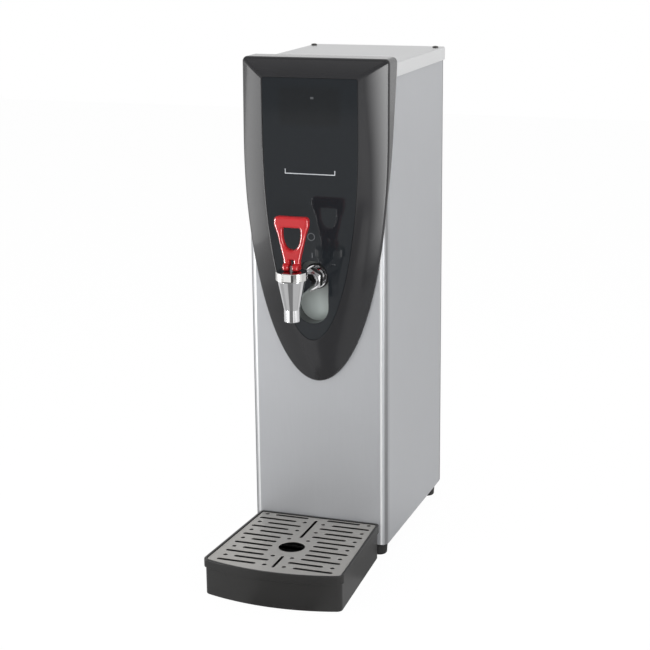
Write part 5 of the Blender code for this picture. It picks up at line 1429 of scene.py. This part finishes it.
@dataclass(frozen=True)
class Lever:
    """The red handle: a round-ended bar over two legs, forked at the foot over the stem."""

    reach: float = 0.0856
    pin_height: float = 0.378
    foot: float = 0.3738
    top: float = 0.436
    bar: float = 0.0127
    width: float = 0.041
    corner: float = 0.0045
    waist: float = 0.019
    waist_top: float = 0.385
    shoulder: float = 0.415
    shoulder_width: float = 0.0334
    side_drop: float = 0.010
    thickness: float = 0.0095
    neck: float = 0.0084
    edge: float = 0.0027
    setback: float = 0.0035
    window_width: float = 0.022
    window_spring: float = 0.418
    window_bottom: float = 0.3977
    window_fullness: float = 2.3
    window_corner: float = 0.0025
    fork: float = 0.0046
    fork_top: float = 0.386
    cam_offset: float = 0.0026
    face_step: float = 0.0011
    fork_radii: Pair = (0.0008, 0.0023)
    side_radii: tuple[float, float, float, float] = (0.0023, 0.012, 0.016, 0.004)

    def build(self, shop: Shop) -> None:
        """Add the handle to the lever's body.

        Args:
            shop: Makes the pieces.
        """
        faces = self.front, self.rear
        step = self.face_step
        plate = Plate(self.outline(), (self.window(),), *faces, self.edge, step=step, steps=7)
        shop.piece(
            plate.add(Surface()), "handle_dressed", "red_plastic", "lever", "tap_handle", sharp=48
        )

    def outline(self) -> np.ndarray:
        """Front view, anticlockwise from the left foot: fork, right leg, bar, left leg."""
        waist, shoulder, bar, slot = (
            wide / 2 for wide in (self.waist, self.shoulder_width, self.width, self.fork)
        )
        side = [
            (waist, self.foot), (waist, self.waist_top), (shoulder, self.shoulder),
            (bar, self.top - self.side_drop), (bar, self.top),
        ]
        fork = [(slot, self.fork_top), (slot, self.foot)]
        half = fork + side
        other = [(-x, z) for x, z in half[::-1]]
        radii = [*self.fork_radii, *self.side_radii, self.corner]
        return rounded(other[-2:] + half + other[:-2], radii[1::-1] + radii + radii[:1:-1])

    def window(self) -> np.ndarray:
        """The finger opening, anticlockwise: square above, half a full-bellied ellipse below."""
        half, top, corner = self.window_width / 2, self.top - self.bar, self.window_corner
        turns = angles(180, 360, 40)
        full = 2 / self.window_fullness
        across = np.sign(np.cos(turns)) * np.abs(np.cos(turns)) ** full
        down = -np.abs(np.sin(turns)) ** full
        drop = self.window_spring - self.window_bottom
        return np.vstack([
            arc((half - corner, top - corner), corner, 0, 90, 6),
            arc((corner - half, top - corner), corner, 90, 180, 6),
            np.column_stack([half * across, self.window_spring + drop * down]),
        ])

    def _waisted(self, height: np.ndarray) -> np.ndarray:
        """Half the thickness at each height: full at the foot and bar, thinner at the shoulder."""
        places = (self.waist_top, self.shoulder, self.top - self.bar)
        return np.interp(height, places, (self.thickness / 2, self.neck / 2, self.thickness / 2))

    def front(self, points: np.ndarray) -> np.ndarray:
        """The front face, which bulges forward over the round cam toe at the foot.

        Args:
            points: Points across and up.

        Returns:
            Depth at each point.
        """
        toe = self.pin_height - self.foot
        along = np.clip((points[:, 1] - self.pin_height) / toe, -1, 1)
        bulge = self.cam_offset + toe * np.sqrt(1 - along**2)
        bulge = np.where(np.abs(along) < 1, bulge, -self.setback)
        return -self.reach - np.maximum(bulge, self._waisted(points[:, 1]) - self.setback)

    def rear(self, points: np.ndarray) -> np.ndarray:
        """The rear face."""
        return self.setback - self.reach + self._waisted(points[:, 1])


@dataclass(frozen=True)
class Drip:
    """The free-standing tray and the perforated plate that lies in it."""

    height: float = 0.044
    start: float = 0.0004
    depth: float = 0.1655
    rear_width: float = 0.155
    front_width: float = 0.172
    bow: float = 0.0145
    bow_inset: float = 1.3
    plan_step: float = 0.004
    face_step: float = 0.006
    front_corner: float = 0.009
    rear_corner: float = 0.006
    lip_height: float = 0.010
    lip_step: float = 0.002
    lip_width: float = 0.0035
    wall: float = 0.0025
    floor: float = 0.003
    edge: float = 0.0012
    edge_shares: tuple[float, ...] = (0, 1, 1 / 2, 1 / 3, 1, 1 / 2, 1 / 4, 1 / 3, 1 / 3, 0, 2, 0)
    draft: float = 0.001
    under_land: float = 0.010
    floor_land: float = 0.012
    ledge: float = 0.0035
    ledge_thickness: float = 0.0022
    plate: float = 0.0015
    sink: float = 0.0008
    gap: float = 0.0003
    running: float = 0.0004
    hole: float = 0.0156
    hole_y: float = -0.0995
    slot: float = 0.0052
    press: float = 0.0005
    first_row: float = -0.0085
    pitch: float = 0.01355
    rows: int = 12
    hole_rows: tuple[int, ...] = (6, 7, 8)
    dots: Pair = (0.012, 0.066)
    long_slot: Pair = (0.023, 0.071)
    short_slot: Pair = (0.012, 0.055)
    centre_width: float = 0.0035
    centre_slots: tuple[Pair, ...] = ((-0.012, -0.070), (-0.128, -0.163))

    def build(self, shop: Shop) -> None:
        """Add the tray and its grille, each on its own body.

        Args:
            shop: Makes the pieces.
        """
        shop.piece(self.tray(), "tray_dressed", "tray_black", "tray", "drip_tray", sharp=50)
        shop.piece(
            self.grille(), "grille_dressed", "grille_stainless", "grille", "drip_grille",
            slot="stainless",
        )

    def plan(self) -> np.ndarray:
        """Outline from above, anticlockwise from the rear right: tapered, with a bowed front."""
        rear_half, front_half = self.rear_width / 2, self.front_width / 2
        rear, front = -self.start, -self.start - self.depth
        radius = (front_half**2 + self.bow**2) / (2 * self.bow)
        end = front_half - self.front_corner * self.bow_inset
        reach = math.degrees(math.asin(end / radius))
        bow = arc((0, front - self.bow + radius), radius, -90 - reach, -90 + reach, 40)
        back = [(rear_half, rear), (-rear_half, rear), (-front_half, front)]
        corners = np.vstack([back, bow, [(front_half, front)]])
        radii = [self.rear_corner] * 2 + [self.front_corner] + [0] * len(bow) + [self.front_corner]
        return spaced(rounded(corners, radii, steps=14), self.plan_step)

    @property
    def ledge_height(self) -> float:
        """Top of the ledge that carries the grille."""
        return self.height - self.sink - self.plate - self.gap

    def tray(self) -> Surface:
        """A section of (distance inwards, height), from the underside over the lip to the floor."""
        h, lip, step, top = self.height, self.lip_width, self.lip_step, self.ledge_height
        ledge, inner, under = lip + self.ledge, step + self.wall, top - self.ledge_thickness
        corners = [
            (step + self.under_land, 0), (step, 0), (step, h - self.lip_height),
            (0, h - self.lip_height), (0, h), (lip, h), (lip, top), (ledge, top), (ledge, under),
            (inner, under - self.ledge), (inner + self.draft, self.floor),
            (inner + self.floor_land, self.floor),
        ]
        section = rounded(corners, [self.edge * share for share in self.edge_shares], False, 5)
        outline = self.plan()
        return Surface().loft([Facing.LAID.points(offset(outline, d), z) for d, z in section])

    @staticmethod
    def across(near: float, far: float, y: float, radius: float) -> np.ndarray:
        """A slot shape across the plate, anticlockwise, between the centres of its ends."""
        near, far = min(near, far), max(near, far)
        return np.vstack([arc((far, y), radius, -90, 90, 10), arc((near, y), radius, 90, 270, 10)])

    def openings(self) -> tuple[np.ndarray, ...]:
        """The centre hole, staggered rows of slots and dots, and the two slots along the middle."""
        holes = [circle((0, self.hole_y), self.hole, 72)]
        r = self.slot / 2
        for row in range(self.rows):
            y = self.first_row - row * self.pitch
            by_hole, long_row = row in self.hole_rows, row % 2 == 1
            low, high = self.long_slot if long_row else self.short_slot
            low = self.long_slot[0] if by_hole else low
            dot = self.dots[0] if long_row else self.dots[1]
            for side in (-1, 1):
                holes.append(self.across(side * (low + r), side * (high - r), y, r))
                if not (by_hole and long_row):
                    holes.append(circle((side * dot, y), r, 24))
        r = self.centre_width / 2
        holes += [obround(r, front, rear, 10) for rear, front in self.centre_slots]
        return tuple(holes)

    def grille(self) -> Surface:
        """The punched plate, with the press's soft edge round each opening."""
        low = self.ledge_height + self.gap
        outline = offset(self.plan(), self.lip_width + self.running)
        faces = level(low), level(low + self.plate)
        step, holes = self.face_step, self.openings()
        plate = Plate(outline, holes, *faces, self.press, Facing.LAID, step, steps=3)
        return plate.add(Surface())


@dataclass(frozen=True)
class GlossPanel(Finish):
    """The overlay's gloss: deep blue-black with a smoked display, a few plain printed marks and a
    painted reflection of the tap's stem.
    """

    name: str = "gloss overlay"
    colour: Colour = (0.014, 0.0165, 0.0195)
    ink_and_reflection: Colour = (0.55, 0.57, 0.60)
    rough: float = 0.06
    mirror: float = 0.27
    stroke: float = 0.0004
    softness: float = 0.6
    bracket: Triple = (-0.031, 0.030, 0.474)
    bracket_rise: float = 0.005
    ring: Triple = (0.0, 0.400, 0.0042)
    ring_ink: float = 0.1575
    # A painted reflection of the tap's stem: a short pale upright stroke in the print's colour.
    stem_reflection: Triple = (0.001, 0.375, 0.381)
    stem_reflection_stroke: float = 0.8
    stem_reflection_share: float = 0.25
    lamp: Pair = (0.003, 0.562)
    lamp_half: Pair = (0.0016, 0.0009)
    lamp_edge: float = 0.0006
    lamp_ink: float = 0.14
    display: Pair = (0.0, 0.552)
    display_half: Pair = (0.032, 0.017)
    display_edge: float = 0.010
    smoke: Colour = (0.012, 0.013, 0.014)
    smoke_share: float = 0.6
    ink_and_reflection_rough: float = 0.25
    wipe_share: float = 0.05
    wipes: Noise = Noise(60.0, 4.0, 0.65, (3.0, 1.0, 0.5))
    waves: Noise = Noise(14.0)
    wave_bump: Pair = (0.0004, 0.25)

    def sockets(self, graph: Graph, place: Signal) -> dict[str, object]:
        """A slow noise bump bends the reflections a little, and wiping marks vary the gloss.

        Args:
            graph: The material's graph.
            place: Object coordinates.

        Returns:
            Values or Signals by socket name.
        """
        x, _, z = graph.axes(place)
        marks = self.marks(x, z)
        smoke = self.spot(x, z, self.display, self.display_half, self.display_edge)
        wipe = graph.noise(place, self.wipes) - 0.5
        ground = graph.mixed(smoke * self.smoke_share, self.colour, self.smoke)
        return {
            # Print and the stem's painted reflection are mixed over the ground.
            "Base Color": graph.mixed(marks, ground, self.ink_and_reflection),
            "Roughness": wipe * self.wipe_share + marks * self.ink_and_reflection_rough + self.rough,
            "Normal": graph.bump(graph.noise(place, self.waves), *self.wave_bump),
            "Specular IOR Level": self.mirror,
        }

    def marks(self, x: Signal, z: Signal) -> Signal:
        """Print over the panel (a line with two ends, a ring and a lamp) and a painted reflection
        of the stem as a short upright stroke, all as bands.

        Args:
            x: Object coordinate across.
            z: Object coordinate upwards.

        Returns:
            One where there is full print or full painted reflection, nothing on the bare panel.
        """
        soft = self.stroke * self.softness
        left, right, low = self.bracket
        line = z.band(low, self.stroke, soft) * x.between(left, right, soft)
        sides = x.band(left, self.stroke, soft).maximum(x.band(right, self.stroke, soft))
        ends = sides * z.between(low, low + self.bracket_rise, soft)
        # Painted reflection of the stem, as a short upright stroke.
        reflection_x, reflection_low, reflection_high = self.stem_reflection
        stem_reflection = x.band(reflection_x, self.stroke * self.stem_reflection_stroke, soft)
        stem_reflection = stem_reflection * z.between(reflection_low, reflection_high, soft)
        ring_x, ring_z, radius = self.ring
        ring = (x - ring_x).length(z - ring_z).band(radius, self.stroke, soft)
        lamp = self.spot(x, z, self.lamp, self.lamp_half, self.lamp_edge)
        faint = (stem_reflection * self.stem_reflection_share, ring * self.ring_ink, lamp * self.lamp_ink)
        return line.maximum(ends).maximum(faint[0]).maximum(faint[1]).maximum(faint[2])

    @staticmethod
    def spot(x: Signal, z: Signal, place: Pair, half: Pair, soft: float) -> Signal:
        """One inside an upright rectangle, falling to nothing over soft."""
        return x.band(place[0], half[0], soft) * z.band(place[1], half[1], soft)


@dataclass(frozen=True)
class CircuitBoard(Finish):
    """Solder mask with faint traces and pale pads."""

    name: str = "circuit board"
    colour: Colour = (0.018, 0.15, 0.065)
    pad: Colour = (0.62, 0.60, 0.55)
    cell_scale: float = 260.0
    pad_span: Pair = (0.16, 0.12)
    traces: Noise = Noise(420.0, 1.0, 0.5, (1.0, 1.0, 0.12))
    trace_span: Pair = (0.55, 0.60)
    trace_share: float = 0.6
    trace_pale: float = 1.9
    rough: Pair = (0.42, 0.15)
    trace_bump: Pair = (0.00005, 0.5)

    def sockets(self, graph: Graph, place: Signal) -> dict[str, object]:
        """Traces are thresholded stretched noise; pads are the bright cores of small cells.

        Args:
            graph: The material's graph.
            place: Object coordinates.

        Returns:
            Values or Signals by socket name.
        """
        cell = {"Vector": place, "Scale": self.cell_scale}
        pads = graph.node("ShaderNodeTexVoronoi", {}, cell).step(*self.pad_span)
        traces = graph.noise(place, self.traces).step(*self.trace_span)
        pale = tinted(self.colour, self.trace_pale)
        mask = graph.mixed(traces * self.trace_share, self.colour, pale)
        board_rough, pad_gloss = self.rough
        return {
            "Base Color": graph.mixed(pads, mask, self.pad),
            "Roughness": board_rough - pads * pad_gloss,
            "Metallic": pads,
            "Normal": graph.bump(traces, *self.trace_bump),
        }


@dataclass(frozen=True)
class Felt(Finish):
    """Matted fibre of the tank's jacket."""

    name: str = "felted jacket"
    colour: Colour = (0.50, 0.48, 0.43)
    fibres: Noise = Noise(1500.0, 5.0, 0.75)
    tufts: Noise = Noise(160.0, 3.0)
    fibre_share: float = 0.6
    shade: float = 0.72
    rough: Pair = (0.88, 0.1)
    tuft_bump: Pair = (0.0008, 0.8)

    def sockets(self, graph: Graph, place: Signal) -> dict[str, object]:
        """Fibres are fine noise twice over, in colour and in a deep bump.

        Args:
            graph: The material's graph.
            place: Object coordinates.

        Returns:
            Values or Signals by socket name.
        """
        fibres, tufts = graph.noise(place, self.fibres), graph.noise(place, self.tufts)
        tone = fibres * self.fibre_share + tufts * (1 - self.fibre_share)
        least_rough, more = self.rough
        return {
            "Base Color": graph.mixed(tone, tinted(self.colour, self.shade), self.colour),
            "Roughness": fibres * more + least_rough,
            "Normal": graph.bump(fibres * 0.5 + tufts * 0.5, *self.tuft_bump),
        }


FINISHES: dict[str, Finish] = {
    "stainless": FoldedSheet(
        "satin stainless", Grain.UPRIGHT, (0.535, 0.545, 0.565), 0.42, metal=0.5
    ),
    # The lid: a paler copy of the satin stainless, painted lighter for the light that falls on its
    # top.
    "cover_stainless_painted_paler": BrushedSheet(
        "satin stainless lid", Grain.ACROSS, (0.80, 0.805, 0.81), 0.38, metal=0.8
    ),
    "grille_stainless": PunchedSheet(
        "brushed grille", Grain.DEEP, (0.50, 0.487, 0.465), 0.34, metal=0.5
    ),
    "zinc_steel": BrushedSheet("zinc-plated steel", Grain.DEEP, (0.50, 0.50, 0.51), 0.36, 900.0),
    "chrome": PolishedPlate("bright chrome"),
    "bonnet_chrome": PolishedPlate("bonnet chrome", (0.84, 0.835, 0.82), 0.08),
    "brass": PolishedPlate("machined brass", (0.72, 0.52, 0.22), 0.22),
    "aluminium": BrushedSheet(
        "extruded aluminium", Grain.UPRIGHT, (0.70, 0.70, 0.72), 0.38, 1200.0
    ),
    "gloss_black": MouldedPlastic(
        "gloss black moulding", (0.020, 0.020, 0.022), 0.20, coat=0.3, scuffs=0.06
    ),
    "overlay_black": GlossPanel(),
    "tray_black": MouldedPlastic(
        "satin black moulding", (0.021, 0.0205, 0.020), 0.36, 0.00006, 1600.0
    ),
    "red_plastic": MouldedPlastic("gloss red moulding", (0.48, 0.017, 0.022), 0.20, scuffs=0.08),
    "rubber": MouldedPlastic("black rubber", (0.020, 0.020, 0.020), 0.62, 0.00008, 1500.0),
    "silicone": MouldedPlastic("pale silicone", (0.74, 0.71, 0.66), 0.55, 0.00004),
    "insulation": Felt(),
    "board_green": CircuitBoard(),
    "dark_screw": PolishedPlate("dark screw steel", (0.16, 0.155, 0.15), 0.30),
}

def numbered(stem: str, count: int) -> tuple[str, ...]:
    """Names of nodes that count from one."""
    return tuple(f"{stem}_{number}" for number in range(1, count + 1))


CARRIED: dict[str, tuple[str, ...]] = {
    "zinc_steel": (
        "base_pan", "back_panel", *numbered("back_screw", 4), *numbered("fascia_screw", 3),
        "tank_shell", "tank_lid", *numbered("lid_screw", 4), "outlet_tube", "tank_bracket_front",
        "tank_bracket_rear", "heating_element", "temperature_probe", "level_probe", "board_bracket",
    ),
    "board_green": ("display_board", "control_board"),
    "brass": ("shank_lock_nut", "inlet_fitting"),
    "silicone": ("seat_cup", "tank_gasket", "fill_tube"),
    "insulation": ("insulation_jacket",),
    "aluminium": ("heat_sink",),
    "tray_black": (
        "limit_thermostat", "inlet_valve", "terminal_block", "cord_gland", "gland_nut",
        "power_switch_body", "switch_rocker",
    ),
}


def rectangle(name: str, half: Pair) -> bpy.types.Mesh:
    """A flat rectangle about the origin, facing up."""
    x, y = half
    mesh = bpy.data.meshes.new(name)
    mesh.from_pydata([(-x, -y, 0), (x, -y, 0), (x, y, 0), (-x, y, 0)], [], [(0, 1, 2, 3)])
    return mesh


def linked(name: str, data: bpy.types.ID) -> bpy.types.Object:
    """A new object of the scene."""
    obj = bpy.data.objects.new(name, data)
    bpy.context.scene.collection.objects.link(obj)
    return obj


def aimed(obj: bpy.types.Object, place: Triple, target: Triple, ahead: str) -> None:
    """Move an object to its place, and turn its axis ahead towards the target."""
    obj.location = place
    obj.rotation_euler = (Vector(target) - Vector(place)).to_track_quat(ahead, "Y").to_euler()


@dataclass(frozen=True)
class SoftBox:
    """A soft light: its place, what it faces, its size and its power."""

    name: str
    place: Triple
    target: Triple
    size: Pair
    power: float
    mirrored: bool = True

    def add(self) -> bpy.types.Object:
        """Link a rectangular area light turned towards its target."""
        light = bpy.data.lights.new(self.name, "AREA")
        light.shape = "RECTANGLE"
        light.size, light.size_y = self.size
        light.energy = self.power
        obj = linked(self.name, light)
        obj.visible_glossy = self.mirrored
        aimed(obj, self.place, self.target, "-Z")
        return obj


@dataclass(frozen=True)
class Card:
    """A flat studio card, seen by reflections alone."""

    name: str
    place: Triple
    target: Triple
    size: Pair
    glow: float
    fade_side: float = 0.0
    fade_low: float = 0.0
    least_fade: float = 0.001

    def add(self) -> bpy.types.Object:
        """Link a rectangle that glows, fading to one side and its foot, hidden from the camera."""
        across, up = self.size[0] / 2, self.size[1] / 2
        obj = linked(self.name, rectangle(self.name, (across, up)))
        aimed(obj, self.place, self.target, "Z")
        graph = Graph(bpy.data.materials.new(self.name))
        glow = graph.glow(self.glow)
        if self.fade_side or self.fade_low:
            x, y, _ = graph.axes(graph.place())
            side = ((across - x) / max(self.fade_side, self.least_fade)).minimum(1.0)
            low = ((y + up) / max(self.fade_low, self.least_fade)).minimum(1.0)
            glow = graph.shaders(side * low, graph.glow(0.0), glow)
        obj.data.materials.append(graph.finish({"Surface": glow}, "Material Output"))
        obj.visible_camera = obj.visible_shadow = obj.visible_diffuse = False
        return obj


@dataclass(frozen=True)
class Studio:
    """White floor and background, soft lights, cards and the camera."""

    ambient: float = 0.45
    rear_glow: float = 0.90
    rear_span: Pair = (-0.3, 0.6)
    high_share: float = 0.62
    high_span: Pair = (0.26, 0.40)
    floor_size: float = 8.0
    floor_white: float = 0.86
    floor_rough: float = 0.85
    floor_seen: float = 1.02
    floor_lift: float = 0.95
    tap_foot: float = -0.125
    peak: float = 1.4
    even: float = 0.78
    behind: float = 0.68
    behind_span: Pair = (-0.05, -0.35)
    zone_reach: float = 1.75
    near_reach: float = 0.85
    reach_fade: float = 1.15
    near_dim: Pair = (0.13, 0.40)
    far_patch: tuple[float, float, float, float] = (1.45, -13, 57, 0.25)
    patch_fade: Pair = (0.1, 6)
    zones: tuple[tuple[float, float, float, float], ...] = (
        (-58, -22, 5, 1.05), (-12, 21, 5, 0.18), (25, 29, 3, 0.10), (40, 96, 6, 0.95),
        (108, 150, 8, 0.45),
    )
    yaw: float = 0.34149
    pitch: float = 0.25845
    roll: float = -0.01096
    camera_place: Triple = (0.6388, -1.81025, 0.7864)
    lens: float = 90.12
    sensor: float = 36.0
    lights: tuple[SoftBox, ...] = (
        SoftBox("key left", (-1.7, -1.5, 1.5), (0, 0, 0.35), (1.2, 1.4), 13.5, False),
        SoftBox("fill right", (1.9, -0.9, 1.2), (0, 0, 0.35), (0.8, 1.6), 8, False),
        SoftBox("front right", (0.8, -2.1, 0.55), (0, 0, 0.15), (1.2, 1.0), 21, False),
        SoftBox("top", (0.0, 0.1, 2.2), (0, 0, 0.3), (1.8, 1.8), 12, False),
    )
    glints: tuple[SoftBox, ...] = (
        SoftBox("glint left", (-0.66, -0.54, 0.32), (0, -0.125, 0.41), (0.24, 0.60), 24.0),
        SoftBox("glint right", (0.62, -0.36, 0.28), (0, -0.125, 0.41), (0.30, 0.60), 10.0),
    )
    cards: tuple[Card, ...] = (
        Card("bright card left", (-1.25, -0.35, 0.31), (0, -0.35, 0.31), (0.75, 0.58), 2.6),
        Card("strip left", (-0.77, -0.77, 0.18), (0, -0.125, 0.18), (0.16, 0.34), 9.0),
        Card(
            "bright card right", (0.57, -0.33, 0.41), (0.57, 0.5, 0.41), (0.60, 0.48), 7.2,
            fade_side=0.30, fade_low=0.10,
        ),
    )

    def build(self) -> None:
        """Set up everything that isn't part of the object."""
        self.world()
        self.floor()
        for part in self.lights + self.cards:
            part.add()
        self.glint()
        self.camera()
        bpy.context.scene.view_settings.view_transform = "Standard"

    def world(self) -> None:
        """White for the camera; for reflections, a glow that is stronger behind, weaker high up."""
        world = bpy.data.worlds.new("studio")
        bpy.context.scene.world = world
        graph = Graph(world)
        _, depth, height = graph.axes(graph.place("Generated"))
        glow = depth.ramp(*self.rear_span, self.ambient, self.rear_glow)
        glow = glow * height.ramp(*self.high_span, 1.0, self.high_share)
        strength = graph.node("ShaderNodeMix", {}, {0: graph.ray("Is Camera Ray"), 2: glow, 3: 1.0})
        graph.finish({"Color": WHITE, "Strength": strength}, "Background")

    def floor(self) -> None:
        """A plain pale floor that the camera sees nearly white, with the object's soft shadow.

        Reflections see it lit unevenly about the tap: the zones give its brightness over the angle
        from straight ahead, and beyond their reach it is even.
        """
        half = self.floor_size / 2
        obj = linked("floor", rectangle("floor", (half, half)))
        graph = Graph(bpy.data.materials.new("floor"))
        graph.finish({"Base Color": (self.floor_white,) * 3, "Roughness": self.floor_rough})
        mirrored = graph.shaders(self._zones(graph), graph.glow(0.0), graph.glow(self.peak))
        lift = graph.ray("Is Camera Ray") * self.floor_lift
        plain = graph.shaders(lift, graph.principled(), graph.glow(self.floor_seen))
        mix = graph.shaders(graph.ray("Is Glossy Ray"), plain, mirrored)
        obj.data.materials.append(graph.finish({"Surface": mix}, "Material Output"))

    def _zones(self, graph: Graph) -> Signal:
        """Brightness of the floor in reflections, as a share of the peak.

        Args:
            graph: The floor's graph.

        Returns:
            The share, over the floor's own coordinates.
        """
        x, y, _ = graph.axes(graph.place())
        ahead = -(y - self.tap_foot)
        angle, reach = x.arctan2(ahead), x.length(ahead)
        bright: Number = self.even
        for start, end, soft, glow in self.zones:
            zone = angle.between(math.radians(start), math.radians(end), math.radians(soft))
            bright = bright + zone * (glow - self.even)
        start, left, right, share = self.far_patch
        fade, soft = self.patch_fade
        patch = angle.between(math.radians(left), math.radians(right), math.radians(soft))
        bright = bright * (1.0 - patch * reach.step(start, start + fade) * (1.0 - share))
        base, gain = self.near_dim
        bright = self._within(reach, self.near_reach).mix(bright, bright * gain + base)
        ground = self._within(reach, self.zone_reach).mix(self.even, bright)
        return ahead.step(*self.behind_span).mix(ground, self.behind) / self.peak

    def _within(self, reach: Signal, radius: float) -> Signal:
        """One inside a radius, falling to nothing a little outside it."""
        return reach.step(radius * self.reach_fade, radius)

    def glint(self) -> None:
        """Soft boxes that light the handle alone, for the pale gleams along its legs."""
        lit = bpy.data.collections.new("lit by the glint")
        lit.objects.link(bpy.data.objects["handle_dressed"])
        for box in self.glints:
            obj = box.add()
            obj.visible_diffuse = False
            obj.light_linking.receiver_collection = lit

    def camera(self) -> None:
        """The photograph's view, from its solved place and angles."""
        cos_p, sin_p = math.cos(self.pitch), math.sin(self.pitch)
        cos_y, sin_y = math.cos(self.yaw), math.sin(self.yaw)
        forward = Vector((-sin_y * cos_p, cos_y * cos_p, -sin_p))
        right = Vector((cos_y, sin_y, 0))
        up = right.cross(forward)
        across = right * math.cos(self.roll) + up * math.sin(self.roll)
        above = up * math.cos(self.roll) - right * math.sin(self.roll)
        lens = bpy.data.cameras.new("camera")
        lens.lens, lens.sensor_width = self.lens, self.sensor
        lens.dof.use_dof = False
        camera = linked("camera", lens)
        turn = Matrix((across, above, -forward)).transposed().to_4x4()
        camera.matrix_world = Matrix.Translation(self.camera_place) @ turn
        bpy.context.scene.camera = camera


def corners(box: Sequence[Vector]) -> list[list[float]]:
    """A box's two corners as plain lists."""
    return [list(corner) for corner in box]


def main() -> None:
    logging.basicConfig(level=logging.INFO, format="%(message)s")
    shop = Shop(FINISHES)
    for part in (Cabinet(), Fascia(), Tap(), Lever(), Drip()):
        LOG.info("Building %s", type(part).__name__)
        part.build(shop)
    for finish, nodes in CARRIED.items():
        shop.repaint(finish, *nodes)
    Studio().build()


if __name__ == "__main__":
    main()
